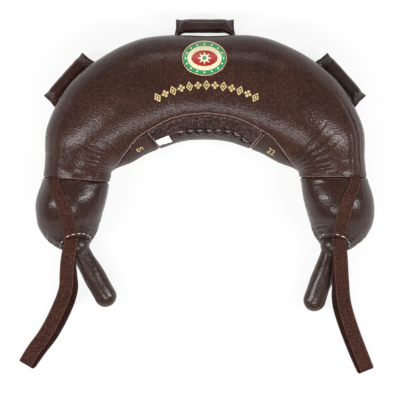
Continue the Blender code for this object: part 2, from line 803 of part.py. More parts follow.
def handle_pivot(place):
    """Middle and turn of a top handle's hinge, just off the outer seam."""
    angle = math.radians(OUTER_SEAM_ANGLE)
    reach = place_step(HANDLE_SPACING / 2, place, angle)
    first = tube_point(place - reach, angle, 0.0)
    last = tube_point(place + reach, angle, 0.0)
    chord = last - first
    chord.z = 0.0
    outward = Vector((-chord.y, chord.x, 0.0)).normalized()
    middle = (first + last) / 2 + outward * (PINCH_HALF_THICKNESS + HANDLE_SEAT)
    return middle, math.atan2(chord.y, chord.x)


def add_top_handles(collection, root):
    half = HANDLE_SPACING / 2
    slit = math.asin(GRIP_SLIT / 2 / GRIP_RADIUS)

    def edges(_row):
        return -math.pi + slit, math.pi - slit

    def depths(_row, _value):
        return 0.0, GRIP_WALL

    rows = even_places(-half, -GRIP_ROUND_HALF, (half - GRIP_ROUND_HALF) / 4)
    rows += even_places(GRIP_ROUND_HALF, half, (half - GRIP_ROUND_HALF) / 4)
    wrap = sheet_mesh("grip_leather", grip_point, rows, 12, edges, depths)
    rope = bpy.data.meshes.new("grip_rope")
    mesh_builder = bmesh.new()
    turn = Matrix.Rotation(math.pi / 2, 4, "Y")
    bmesh.ops.create_cone(
        mesh_builder, cap_ends=True, segments=12,
        radius1=GRIP_RADIUS - GRIP_WALL - ROPE_SPACE, radius2=GRIP_RADIUS - GRIP_WALL - ROPE_SPACE,
        depth=2 * GRIP_ROUND_HALF, matrix=Matrix.Translation((0.0, GRIP_REACH, 0.0)) @ turn,
    )
    mesh_builder.to_mesh(rope)
    mesh_builder.free()
    for side, place in HANDLE_PLACE_SHARES.items():
        middle, turned = handle_pivot(place)
        pivot = add_empty(f"handle_pivot_{side}", collection, root, middle, turned)
        for name, mesh, look in (("grip_leather", wrap, HANDLE_LOOK), ("grip_rope", rope, ROPE_LOOK)):
            piece = add_piece(f"{name}_{side}", mesh, look, collection, pivot)
            piece.rotation_euler = (-HANDLE_TILT_ANGLE, 0.0, 0.0)


def centre_on_floor(root):
    """Moves the bag so that its bounding box stands on the origin."""
    bpy.context.view_layer.update()
    graph = bpy.context.evaluated_depsgraph_get()
    low, high = Vector((math.inf,) * 3), Vector((-math.inf,) * 3)
    for piece in bpy.data.objects:
        if piece.type not in {"MESH", "CURVE"} or piece.hide_render:
            continue
        shown = piece.evaluated_get(graph)
        mesh = shown.to_mesh()
        for vertex in mesh.vertices:
            corner = shown.matrix_world @ vertex.co
            low = Vector(map(min, low, corner))
            high = Vector(map(max, high, corner))
        shown.to_mesh_clear()
    root.location = (-(low.x + high.x) / 2, -(low.y + high.y) / 2, -low.z)
    bpy.context.view_layer.update()
    print("size in mm", [round(value / MM, 1) for value in high - low])


def report_pivots():
    for thing in bpy.data.objects:
        if thing.type == "EMPTY":
            place = [round(value, 5) for value in thing.matrix_world.translation]
            print(thing.name, place, round(math.degrees(thing.rotation_euler.z), 2))


def main():
    clear_scene()
    collection = bpy.data.collections.new("bulgarian_bag")
    cutters = bpy.data.collections.new("cutters")
    bpy.context.scene.collection.children.link(collection)
    bpy.context.scene.collection.children.link(cutters)
    root = add_empty("bag", collection, None)
    add_crescent_panels(collection, root)
    add_gussets(collection, root)
    holes = add_flaps(collection, cutters, root)
    add_lace(collection, root, holes)
    add_label(collection, root)
    add_pouches(collection, root)
    add_filling(collection, root)
    add_horns(collection, root)
    add_runs(collection, root)
    add_loops(collection, root)
    add_top_handles(collection, root)
    centre_on_floor(root)
    report_pivots()


main()
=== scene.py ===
# %% [markdown]
# # Dressing a bulgarian bag
# A bulgarian bag is a stuffed leather crescent that is swung by its two end handles, its two
# webbing loops or the three handles on its back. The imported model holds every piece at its
# real size and says how it moves. This script gives each piece its finished shape and surface.

# %% Load the frame
import json
from functools import lru_cache
from math import (asin, atan2, copysign, cos, degrees, exp, hypot, pi, radians, sin, tan, tau)

import bmesh
import bpy
from mathutils import Matrix, Vector, noise
from mathutils.bvhtree import BVHTree


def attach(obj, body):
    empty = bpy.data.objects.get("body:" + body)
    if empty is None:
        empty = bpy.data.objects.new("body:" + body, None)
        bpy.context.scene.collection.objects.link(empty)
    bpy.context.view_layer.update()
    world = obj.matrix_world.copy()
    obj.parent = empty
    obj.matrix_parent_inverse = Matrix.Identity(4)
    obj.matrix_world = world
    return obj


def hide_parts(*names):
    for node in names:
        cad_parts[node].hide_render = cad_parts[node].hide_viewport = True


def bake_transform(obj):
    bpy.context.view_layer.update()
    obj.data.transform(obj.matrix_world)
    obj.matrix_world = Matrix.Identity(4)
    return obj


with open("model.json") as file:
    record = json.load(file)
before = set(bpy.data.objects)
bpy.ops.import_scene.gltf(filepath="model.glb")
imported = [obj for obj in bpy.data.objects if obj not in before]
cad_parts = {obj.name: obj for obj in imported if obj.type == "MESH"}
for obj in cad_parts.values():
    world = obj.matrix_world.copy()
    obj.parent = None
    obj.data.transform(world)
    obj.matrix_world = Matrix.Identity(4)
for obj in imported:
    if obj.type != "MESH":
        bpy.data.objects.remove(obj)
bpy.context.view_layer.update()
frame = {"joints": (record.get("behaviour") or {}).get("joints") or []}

MM = 0.001
SIDES = (("left", -1), ("right", 1))

# %% [markdown]
# ## The form of the crescent
# Leather, webbing and stitches all follow one form: a tube that is drawn along half of the bag
# and mirrored. Each row of the table is a section: its place, its half width and half height,
# and the way it is turned. A smooth curve through the rows gives the sections between them.
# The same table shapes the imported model, so every piece made here lies where its solid lies.
# Only the neck's radius is 0.3 mm larger here than there.

# %% The sections of the crescent
ARCH_RADIUS = 232 * MM
TUBE_WIDTH = 182 * MM
TUBE_HEIGHT = 150 * MM
NECK_RADIUS = 27.1 * MM
STATION_SHARES = (
    (0.000, 0.875, 0.500, 0.520, 0.473, 0, 0),
    (0.344, 0.852, 0.531, 0.527, 0.480, 22, 0),
    (0.677, 0.679, 0.512, 0.513, 0.470, 45, 0),
    (0.873, 0.462, 0.440, 0.473, 0.433, 63, 0),
    (0.947, 0.300, 0.335, 0.420, 0.393, 80, 0),
    (0.966, 0.206, 0.328, 0.383, 0.385, 90, 0),
    (1.009, 0.038, 0.339, 0.420, 0.387, 90, 0),
    (1.024, -0.085, 0.322, 0.400, 0.370, 92, 0),
    (1.023, -0.174, 0.290, 0.344, 0.340, 95, 6),
    (0.999, -0.256, 0.232, 0.260, 0.318, 101, 16),
)
NECK_SHARES = (0.974, -0.308, 0.307, 107, 25)
POUCH_SEAM = 5
NECK_END = len(STATION_SHARES)


def scaled_station(row):
    across, along, width, height, middle, turn, lean = row
    return (
        across * ARCH_RADIUS, along * ARCH_RADIUS, width * TUBE_WIDTH,
        height * TUBE_HEIGHT, middle * TUBE_HEIGHT, radians(turn), radians(lean),
    )


STATIONS = [scaled_station(row) for row in STATION_SHARES]
across, along, middle, turn, lean = NECK_SHARES
STATIONS.append((
    across * ARCH_RADIUS, along * ARCH_RADIUS, NECK_RADIUS, NECK_RADIUS,
    middle * TUBE_HEIGHT, radians(turn), radians(lean),
))
print(len(STATIONS), "sections from the top of the crescent to a pouch's neck")


# %% Small curves that many steps share
def fade(share):
    """From 0 to 1 with soft ends, and 0 or 1 outside."""
    share = min(1.0, max(0.0, share))
    return share * share * (3 - 2 * share)


def bell(gap, width):
    """1 at gap 0, with round shoulders."""
    return exp(-((gap / width) ** 2))


def fall(gap, reach):
    """1 at gap 0, and steep from the start."""
    return exp(-gap / reach)


def wobble(*spot):
    """Smooth noise from about -1 to 1."""
    return noise.noise(Vector(spot))


def side_of(place):
    return "left" if place < 0 else "right"


def smooth_between(before, first, second, after, share):
    """Catmull-Rom curve through first and second."""
    return 0.5 * (
        2 * first
        + (second - before) * share
        + (2 * before - 5 * first + 4 * second - after) * share ** 2
        + (3 * first - before - 3 * second + after) * share ** 3
    )


def with_neighbours(rows, index):
    """A row, the row before it and the two after it; the ends repeat."""
    last = len(rows) - 1
    return [rows[max(0, min(last, index + step))] for step in (-1, 0, 1, 2)]


def station(index):
    if index < 0:
        across, along, width, height, middle, turn, lean = STATIONS[-index]
        return (-across, along, width, height, middle, -turn, lean)
    return STATIONS[min(index, NECK_END)]


@lru_cache(maxsize=None)
def section(place):
    index = min(int(place), NECK_END - 1)
    rows = [station(index + step) for step in (-1, 0, 1, 2)]
    return tuple(smooth_between(*values, place - index) for values in zip(*rows))


@lru_cache(maxsize=None)
def section_frame(place):
    """Middle, outward and rising directions and half sizes of a section."""
    across, along, width, height, middle, turn, lean = section(abs(place))
    outward = Vector((sin(turn), cos(turn), 0.0))
    backward = Vector((-cos(turn), sin(turn), 0.0))
    rise = Vector((0.0, 0.0, cos(lean))) + backward * sin(lean)
    return Vector((across, along, middle)), outward, rise, width, height


# %% [markdown]
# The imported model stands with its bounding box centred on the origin. The hinge of an end
# handle lies in the middle of its neck, so it tells how far the form was moved.

# %% Place the form where the frame has it
def plain_point(place, angle, depth):
    middle, outward, rise, width, height = section_frame(place)
    point = middle - outward * (width - depth) * sin(angle)
    point += rise * (height - depth) * cos(angle)
    point.z = max(point.z, depth, 0.0)
    if place < 0:
        point.x = -point.x
    return point


JOINTS = {joint["name"]: joint for joint in frame["joints"]}
BAG_PLACE = Vector(JOINTS["horn_right_swing"]["pos_m"]) - section_frame(NECK_END)[0]
BAG_PLACE.z = 0.0


def tube_point(place, angle, depth=0.0):
    """A point under the leather's plain face; negative places are on the left half."""
    return plain_point(place, angle, depth) + BAG_PLACE


def tube_middle(place):
    middle = section_frame(place)[0].copy()
    if place < 0:
        middle.x = -middle.x
    return middle + BAG_PLACE


def place_step(length, place, angle):
    """How far a place moves along the crescent for a length on the leather."""
    probe = 0.01
    span = tube_point(place + probe, angle) - tube_point(place - probe, angle)
    return length * 2 * probe / span.length


def round_speed(place, angle):
    """Length on the leather for a radian round the section."""
    _, _, _, width, height = section_frame(place)
    return hypot(width * cos(angle), height * sin(angle))


print("the bag is moved by", [round(value / MM, 2) for value in BAG_PLACE], "mm")

# %% [markdown]
# ## Seams
# The crescent is sewn from a front and a back panel that meet along the outer seam. On the
# inside a gusset strip lies between them, with the laced filling slit in its middle. A pouch
# has two halves. Angles are in degrees from straight up, towards the inside of the crescent.

# %% Where the seams run
OUTER_SEAM = radians(-105)
FRONT_SEAM = (32, 36, 41, 55, 81, 90)
BACK_SEAM = (104, 104, 102, 99, 93, 90)
SLIT_ANGLES = (57, 56, 74)
FLAP_END = 1.75
LEATHER = 2.2 * MM


def table_angle(table, place):
    place = min(abs(place), len(table) - 1)
    index = min(int(place), len(table) - 2)
    return radians(table[index] + (table[index + 1] - table[index]) * (place - index))


def front_edge(place):
    return table_angle(FRONT_SEAM, place)


def back_edge(place):
    return table_angle(BACK_SEAM, place)


def slit_angle(place):
    return table_angle(SLIT_ANGLES, max(place, 0.0))


SEAM_SLANTS = {"left": 0.27, "right": 0.02}
SLANT_START = 3.6
SLANT_END = 7.0


def slanted(place, angle):
    """The seam between crescent and pouch runs aslant; the rows near it follow."""
    near = fade(min(abs(place) - SLANT_START, SLANT_END - abs(place)) / (POUCH_SEAM - SLANT_START))
    slant = SEAM_SLANTS[side_of(place)] * (1 + sin(angle)) / 2
    return place + copysign(slant * near, place)


def straightened(place, angle):
    """The row that slanted carries to this place."""
    row = place
    for _ in range(4):
        row += place - slanted(row, angle)
    return row


def run_lengths(steps=20):
    """Length of the middle line from the top to each twentieth of a place."""
    lengths = [0.0]
    for index in range(NECK_END * steps):
        span = section_frame((index + 1) / steps)[0] - section_frame(index / steps)[0]
        lengths.append(lengths[-1] + span.length)
    return lengths


RUN_LENGTHS = run_lengths()


def run_length(place):
    position = abs(place) / NECK_END * (len(RUN_LENGTHS) - 1)
    index = min(int(position), len(RUN_LENGTHS) - 2)
    start, end = RUN_LENGTHS[index], RUN_LENGTHS[index + 1]
    return copysign(start + (end - start) * (position - index), place)


print(f"half the crescent is {run_length(NECK_END):.3f} m long")

# %% [markdown]
# ## Creases and folds
# Tight filling keeps the leather smooth, but three things mark it. It dips into each seam and
# puckers beside it. It creases on the inside of the elbows, where the crescent bends most. And
# it gathers in pleats at the necks. All of these are worked out as one height above the plain
# form, so panels, stitches and badges that share a spot always agree.

# %% Folds as tables
ELBOW_CREASES = {  # place at both ends, angles of both ends, depth and width in mm
    "left": (
        (3.02, 3.16, 5, 38, 1.3, 2.1), (3.25, 3.32, -6, 30, 2.6, 2.3),
        (3.55, 3.62, 4, 49, 2.0, 2.1), (3.80, 3.92, 10, 56, 1.8, 2.0),
        (4.02, 4.20, 16, 64, 2.2, 2.0), (4.24, 4.46, 20, 72, 2.0, 1.8),
        (4.48, 4.70, 26, 80, 1.8, 1.7), (4.72, 4.88, 32, 84, 1.3, 1.5),
        (3.30, 3.36, -82, -58, 1.2, 1.9), (3.85, 3.80, -84, -52, 1.2, 1.9),
        (2.75, 2.82, 14, 40, 0.9, 2.1),
    ),
    "right": (
        (2.60, 3.10, -16, 40, 1.5, 2.8), (2.95, 3.40, -14, 44, 1.9, 2.9),
        (3.30, 3.72, -12, 50, 2.0, 2.8), (3.70, 4.02, -6, 58, 1.8, 2.6),
        (4.10, 4.36, 4, 66, 1.6, 2.2), (4.50, 4.66, 10, 74, 1.4, 1.9),
        (4.76, 4.86, 20, 80, 1.1, 1.6),
    ),
}
FLANK_FOLDS = {  # angle at both ends, places of both ends, height and width in mm
    "left": ((-30, -26, 3.2, 4.7, -0.5, 4.0), (-52, -46, 2.9, 4.6, -0.4, 5.0)),
    "right": (
        (-54, -50, 2.3, 4.7, -1.5, 3.4), (-41, -33, 2.5, 4.6, -1.2, 3.6),
        (-66, -62, 2.6, 4.8, -1.0, 3.0),
    ),
}
POUCH_FOLDS = {  # place at both ends, angles of both ends, depth and width in mm
    "left": (
        (8.55, 9.05, 24, 92, 3.2, 2.8), (9.25, 9.40, 52, 100, 2.4, 2.0),
        (9.30, 8.95, -96, -40, 3.6, 2.8), (9.62, 9.50, -80, -40, 2.4, 1.8),
        (8.85, 8.50, -100, -56, 2.6, 3.0),
    ),
    "right": (
        (8.35, 8.70, 28, 98, 3.6, 3.0), (9.10, 9.00, 30, 84, 2.4, 2.2),
        (8.80, 8.30, -96, -40, 3.6, 3.0), (9.35, 9.05, -100, -40, 2.8, 2.2),
        (5.30, 5.45, 20, 62, 0.7, 2.6),
    ),
}
SEAM_DEPTH = 1.9 * MM
SEAM_ROLL = 2.6 * MM
PUCKER_DEPTH = 0.85 * MM
PUCKER_REACH = 9 * MM
PUCKER_PITCH = 7.5 * MM


def furrow(gap):
    """A soft valley with raised shoulders, one deep at gap 0."""
    return exp(-gap * gap) - 0.45 * bell(gap, 2.3)


# %% Turn the tables into heights
def across_folds(table, place, angle):
    """Depth in metres of the folds that run round the section."""
    depth = 0.0
    turned = degrees(angle)
    for start, end, first, last, deep, width in table:
        share = (turned - first) / (last - first)
        if not -0.2 < share < 1.2:
            continue
        reach = fade((share + 0.2) / 0.45) * fade((1.2 - share) / 0.45)
        wander = wobble(turned / 14, start * 3.1, 0.5) * 1.2 * MM
        length = place_step(1.0, place, angle)
        gap = (abs(place) - (start + (end - start) * share)) / length + wander
        if abs(gap) < 6 * width * MM:
            depth += deep * MM * reach * furrow(gap / (width * MM))
    return depth


def long_folds(table, place, angle):
    """Depth in metres of the folds that run along the crescent."""
    depth = 0.0
    for first, last, start, end, high, width in table:
        share = (abs(place) - start) / (end - start)
        if not -0.2 < share < 1.2:
            continue
        reach = fade((share + 0.2) / 0.5) * fade((1.2 - share) / 0.5)
        middle = radians(first + (last - first) * share)
        wander = wobble(place * 2.3, first * 0.7, 3.5) * 2 * MM
        gap = (angle - middle) * round_speed(place, angle) + wander
        if abs(gap) < 6 * width * MM:
            depth -= high * MM * reach * furrow(gap / (width * MM))
    return depth


# %% Distance to the seams
def seam_gaps(row, angle):
    """For each seam close by: how far away it is, and how far along it this point lies."""
    gaps = []
    speed = round_speed(row, angle)
    along = run_length(row)
    turned = angle if angle < pi else angle - tau
    gaps.append((abs(turned - OUTER_SEAM) * speed, along))
    inside = [front_edge(row), back_edge(row)]
    if abs(row) > POUCH_SEAM:
        inside = [pi / 2]
    for seam in inside:
        gaps.append((abs(turned - seam) * speed, along))
    if len(inside) == 2 and inside[0] - 0.02 < turned < inside[1] + 0.02:
        if abs(abs(row) - FLAP_END) < 0.7:
            gap = abs(abs(row) - FLAP_END) / place_step(1.0, row, angle)
            gaps.append((gap, turned * speed))
    return gaps


def pouch_seam_dip(row, angle):
    """The crescent's edge is folded over the pouch: the pouch drops away beneath it."""
    if not 4.2 < abs(row) < 6.0:
        return 0.0, 0.0
    gap = abs(abs(row) - POUCH_SEAM) / place_step(1.0, row, angle)
    speed = round_speed(row, angle)
    ruffle = abs(wobble(angle * speed / PUCKER_PITCH, 0.3, row)) * 2
    pucker = PUCKER_DEPTH * ruffle * fall(gap, PUCKER_REACH)
    if abs(row) <= POUCH_SEAM:
        return 0.7 * MM * bell(gap, SEAM_ROLL) + 0.6 * pucker, 0.0
    # On the pouch side the second value is painted shade in the seam beneath the crescent's edge.
    return 3.4 * MM * bell(gap, SEAM_ROLL) + pucker, fall(gap, 2.4 * MM)


# %% [markdown]
# The filling slit is whipped shut by one lace. Each turn of the lace pulls both edges down, and
# between the turns they stand up as scallops that show the raw edge of the hide.

# %% Places of the lacing
SLIT_START = -0.93
SLIT_END = 1.64
STITCHES = 8
SLIT_WIDTH = 1.2 * MM
SCALLOP = 2.0 * MM
SCALLOP_LIFT = 2.0 * MM
LACE_PULL = 1.6 * MM
LACE_ROLL = 4.5 * MM


def between_turns(place):
    """0 where the lace crosses the slit and 1 halfway to the next crossing."""
    phase = (place - SLIT_START) / (SLIT_END - SLIT_START) * STITCHES
    if not 0 < phase < STITCHES:
        return None
    return (1 - cos(tau * phase)) / 2


def lacing_lift(place, angle):
    wave = between_turns(place)
    gap = (angle - slit_angle(place)) * round_speed(place, angle)
    if wave is None:
        return -0.8 * MM * bell(gap, SEAM_ROLL)
    roll = bell(gap, LACE_ROLL)
    pull = fall(abs(gap), 2.2 * LACE_ROLL)
    ruffle = wobble(place * 23, gap / (5 * MM), 2.0)
    return roll * SCALLOP_LIFT * wave - pull * LACE_PULL * (1 - wave) + pull * 0.7 * MM * ruffle


# %% The height of the leather
PLEATS = 13
PLEAT_DEPTH = 1.9 * MM
PLEAT_START = 8.3
LIP_START = 9.72


def neck_pleats(place, angle):
    """Pleats of the gathered leather, deepest just before the neck."""
    share = fade((abs(place) - PLEAT_START) / 1.2)
    phase = angle * PLEATS + 2.5 * wobble(cos(angle), sin(angle), place)
    return PLEAT_DEPTH * share * abs(sin(phase / 2)) ** 0.7


def lip_roll(place):
    """The neck's edge is turned in."""
    share = max(0.0, (abs(place) - LIP_START) / 0.28)
    return 1.0 * MM * share ** 2.5


FOLD_SHADE_DEPTH = 1.4 * MM
FOLD_SHADE_MOST = 0.85


@lru_cache(maxsize=None)
def lie(place, angle):
    """Height of the leather above its plain form, and painted shade from 0 to 1, most deep in a
    seam, a pleat or a crease.
    """
    spot = plain_point(place, angle, 0.0)
    side = side_of(place)
    row = straightened(place, angle)
    height = 0.9 * MM * noise.noise(spot / 0.060)
    height += 0.35 * MM * noise.noise(spot / 0.019 + Vector((7.1, 0.0, 0.0)))
    dip, painted_shade = pouch_seam_dip(row, angle)
    height -= dip
    for gap, along in seam_gaps(row, angle):
        height -= SEAM_DEPTH * bell(gap, SEAM_ROLL)
        if gap < 4 * PUCKER_REACH:
            ruffle = abs(wobble(along / PUCKER_PITCH, 0.3, 9.0)) * 2
            height -= PUCKER_DEPTH * ruffle * fall(gap, PUCKER_REACH)
        # Painted shade beside each seam.
        painted_shade = max(painted_shade, fall(gap, 3 * MM))
    if abs(row) < FLAP_END and front_edge(row) < angle < back_edge(row):
        height += lacing_lift(row, angle)
    if abs(row) <= POUCH_SEAM:
        folds = across_folds(ELBOW_CREASES[side], place, angle)
        height -= long_folds(FLANK_FOLDS[side], place, angle)
    else:
        folds = across_folds(POUCH_FOLDS[side], place, angle)
        pleat = neck_pleats(place, angle)
        # Painted shade in the pleats.
        painted_shade = max(painted_shade, 0.8 * (pleat / PLEAT_DEPTH) ** 2)
        height -= pleat + lip_roll(place)
        height += 1.0 * MM * noise.noise(spot / 0.030)
    # Painted shade in the creases, up to FOLD_SHADE_MOST.
    return height - folds, max(painted_shade, min(FOLD_SHADE_MOST, folds / FOLD_SHADE_DEPTH))


def leather_point(place, angle, lift=0.0):
    """A point on the finished leather, or lifted off it."""
    return tube_point(place, angle, -lie(place, angle)[0] - lift)


# %% [markdown]
# ## Studio
# The photo looks straight down on the bag, with a long lens. The floor is white: for the
# camera it glows a little by itself, so that it looks like paper and still takes the shadow.

# %% Camera over the bag
PIXEL = 1.75 * MM
PHOTO_SIDE = 400
BAG_CENTRE_PIXEL = (196.5, 197.5)
FOCAL_LENGTH = 300
SENSOR = 36
VIEW_HEIGHT = 65 * MM


def linked(name, data):
    made = bpy.data.objects.new(name, data)
    bpy.context.scene.collection.objects.link(made)
    return made


camera_data = bpy.data.cameras.new("camera")
camera_data.lens = FOCAL_LENGTH
camera_data.sensor_width = SENSOR
camera = linked("camera", camera_data)
view_width = PHOTO_SIDE * PIXEL
distance = view_width * FOCAL_LENGTH / SENSOR
camera.location = (
    (PHOTO_SIDE / 2 - BAG_CENTRE_PIXEL[0]) * PIXEL,
    (BAG_CENTRE_PIXEL[1] - PHOTO_SIDE / 2) * PIXEL,
    VIEW_HEIGHT + distance,
)
camera_data.clip_end = 4 * distance
bpy.context.scene.camera = camera
print(f"camera {distance:.2f} m above the bag")


# %% [markdown]
# Leather is read by its highlights, so the lamps are narrow strips: a near and a far one on each
# side of the bag, one above its open end and one low beyond its top. Their places set where a
# streak of light lies, which matters more than their strength.

# %% Strip lamps
def soft_box(name, place, aim, size, power):
    data = bpy.data.lights.new(name, "AREA")
    data.shape = "RECTANGLE"
    data.size, data.size_y = size
    data.energy = power
    lamp = linked(name, data)
    lamp.location = place
    lamp.rotation_euler = (Vector(aim) - Vector(place)).to_track_quat("-Z", "Y").to_euler()


for lamp_row in (  # name, place and aim in metres, size, power in watts
    ("box_left", (-1.05, -0.15, 1.40), (-0.15, 0.0, 0.05), (0.12, 0.7), 13.0),
    ("rim_left", (-1.75, -0.15, 1.20), (-0.15, 0.0, 0.05), (0.12, 0.6), 9.0),
    ("box_right", (1.15, -0.10, 1.25), (0.15, 0.0, 0.05), (0.12, 0.7), 12.0),
    ("rim_right", (1.80, -0.10, 1.15), (0.15, 0.0, 0.05), (0.12, 0.6), 9.0),
    ("box_top", (0.0, 1.9, 0.9), (0.0, 0.1, 0.05), (1.6, 0.2), 7.0),
    ("box_near", (0.0, -1.05, 1.55), (0.0, 0.05, 0.05), (1.2, 0.18), 14.0),
):
    soft_box(*lamp_row)


# %% [markdown]
# Every surface here is a small tree of nodes, and the same few nodes turn up in all of them.

# %% Small helpers for node trees
class Finish:
    """A material under construction."""

    def __init__(self, name, roughness=0.5):
        self.material = bpy.data.materials.new(name)
        self.material.use_nodes = True
        self.nodes = self.material.node_tree.nodes
        self.links = self.material.node_tree.links
        self.shader = self.nodes["Principled BSDF"]
        self.shader.inputs["Roughness"].default_value = roughness
        self.spot = self.add("TexCoord").outputs["Object"]

    def add(self, kind, values=(), **settings):
        """A node; each of its values is a number or another node's output."""
        made = self.nodes.new("ShaderNode" + kind)
        for name, setting in settings.items():
            setattr(made, name, setting)
        for name, value in dict(values).items():
            self.feed(made, name, value)
        return made

    def feed(self, node, name, value):
        if isinstance(value, bpy.types.NodeSocket):
            self.links.new(value, node.inputs[name])
        else:
            node.inputs[name].default_value = value

    def noise(self, vector, scale, detail=3.0, rough=0.55, output="Fac"):
        return self.add("TexNoise", {"Vector": vector, "Scale": scale, "Detail": detail,
                                     "Roughness": rough}).outputs[output]

    def pebbles(self, vector, scale):
        made = self.add("TexVoronoi", {"Vector": vector, "Scale": scale},
                        feature="DISTANCE_TO_EDGE")
        return self.spread(made.outputs["Distance"], 0.0, 0.25)

    def math(self, operation, first, second=0.0):
        return self.add("Math", {0: first, 1: second}, operation=operation).outputs[0]

    def spread(self, value, low, high, to_low=0.0, to_high=1.0):
        return self.add("MapRange", {"Value": value, "From Min": low, "From Max": high,
                                     "To Min": to_low, "To Max": to_high}).outputs[0]

    def mix(self, share, first, second):
        """Goes from one colour to the other; screen colours are given as three numbers."""
        first, second = (colour(*tone) if isinstance(tone, tuple) else tone
                         for tone in (first, second))
        return self.add("Mix", {0: share, 6: first, 7: second}, data_type="RGBA").outputs[2]

    def bump(self, height, distance):
        return self.add("Bump", {"Height": height, "Distance": distance,
                                 "Strength": 1.0}).outputs[0]

    # The attribute of painted shade: darkest in seams, pleats, creases and the lower ply of a
    # loop.
    def painted_shade(self):
        return self.add("Attribute", attribute_name="painted_shade").outputs["Fac"]

    def tape_way(self):
        """How far along and across the tape a point is, in metres."""
        made = self.add("SeparateXYZ", {"Vector": self.add("UVMap").outputs["UV"]})
        return made.outputs["X"], made.outputs["Y"]

    def shade(self, **values):
        for name, value in values.items():
            self.feed(self.shader, name.replace("_", " "), value)
        return self.material


def colour(red, green, blue):
    """A colour from screen values 0 to 255, as the shader wants it."""
    made = []
    for value in (red, green, blue):
        share = value / 255
        made.append(share / 12.92 if share <= 0.04045 else ((share + 0.055) / 1.055) ** 2.4)
    return (*made, 1.0)


# %% White floor and surroundings
FLOOR_SIZE = 60
FLOOR_GLOW = 0.84
FLOOR_FADE = (0.35, 0.9)
floor_mesh = bpy.data.meshes.new("floor")
floor_builder = bmesh.new()
bmesh.ops.create_grid(floor_builder, x_segments=1, y_segments=1, size=FLOOR_SIZE)
floor_builder.to_mesh(floor_mesh)
floor_builder.free()
floor = linked("floor", floor_mesh)
floor.location.z = -0.2 * MM

paper = Finish("paper_floor")
paper.nodes.remove(paper.shader)
path = paper.add("LightPath").outputs
seen = paper.math("MAXIMUM", path["Is Camera Ray"], path["Is Glossy Ray"])
seen = paper.math("MAXIMUM", seen, path["Is Transmission Ray"])
away = paper.add("VectorMath", {0: paper.spot}, operation="LENGTH")
level = paper.spread(away.outputs["Value"], *FLOOR_FADE, FLOOR_GLOW)
lit = paper.add("BsdfDiffuse", {"Color": (0.9, 0.9, 0.9, 1)})
mix = paper.add("MixShader", {0: paper.math("MULTIPLY", seen, level), 1: lit.outputs[0],
                              2: paper.add("Emission").outputs[0]})
paper.links.new(mix.outputs[0], paper.nodes["Material Output"].inputs["Surface"])
floor_mesh.materials.append(paper.material)

ROOM_LIGHT = 0.22
world = bpy.data.worlds.new("studio")
bpy.context.scene.world = world
world.use_nodes = True
world.node_tree.nodes["Background"].inputs["Color"].default_value = (1.0, 1.0, 1.0, 1)
world.node_tree.nodes["Background"].inputs["Strength"].default_value = ROOM_LIGHT
bpy.context.scene.view_settings.view_transform = "Standard"

# %% [markdown]
# ## Finishes
# The leather is a dark chocolate hide with a semi-gloss finish. Its grain is a field of soft
# swells a few millimetres wide with fine cells on them, and a bump follows both. The gloss is
# uneven too, which breaks a highlight up into sparkle. The colour darkens at the edges of the
# cells and in the low parts of a wrinkle noise: painted shade in the grain's creases. Where the
# leather dips into a seam, a pleat or a crease, an attribute rises from 0 to 1, and the colour
# darkens there: painted shade.


# %% Leather
def leather_finish(name, base, deep, pale, roughness, cell, gloss, relief):
    """Base, deep and pale are screen colours; a grain cell is in mm."""
    made = Finish(name)
    cell *= MM
    drift = made.noise(made.spot, 1 / (2.2 * cell), 2.0, output="Color")
    creased = made.add("VectorMath", {0: drift, 1: (1.6 * cell,) * 3, 2: made.spot},
                       operation="MULTIPLY_ADD").outputs[0]
    pebbles = made.pebbles(creased, 1 / cell)
    fine = made.pebbles(creased, 2.3 / cell)
    wrinkles = made.noise(creased, 1 / (1.5 * cell), 3.0, 0.62)
    cloud = made.noise(made.spot, 1 / (45 * MM), 4.0, 0.6)
    tone = made.mix(made.spread(cloud, 0.35, 0.68), deep, base)
    tone = made.mix(made.spread(wrinkles, 0.50, 0.72, 0.0, 0.7), tone, pale)
    # Darker at the edges of the grain's cells and in the low parts of the wrinkle noise: painted
    # shade in the grain's creases.
    tone = made.mix(made.spread(pebbles, 0.0, 1.0, 0.65, 0.0), tone, deep)
    tone = made.mix(made.spread(wrinkles, 0.30, 0.48, 0.6, 0.0), tone, deep)
    # Painted shade: darker where the attribute is high, in seams, pleats and creases.
    tone = made.mix(made.spread(made.painted_shade(), 0.25, 1.0, 0.0, 0.85), tone, (20, 12, 10))
    swells = made.noise(creased, 1 / (1.2 * cell), 0.3, 0.4)
    height = made.math("ADD", made.math("MULTIPLY", pebbles, 0.05), swells)
    height = made.math("ADD", made.math("MULTIPLY", fine, 0.02), height)
    grain = made.bump(height, 1.0 * MM * relief)
    sparkle = made.noise(creased, 1 / (1.2 * cell), 1.0)
    rough = made.spread(sparkle, 0.40, 0.62, roughness + 0.10, roughness)
    return made.shade(Base_Color=tone, Roughness=rough, Normal=grain,
                      Specular_IOR_Level=gloss)


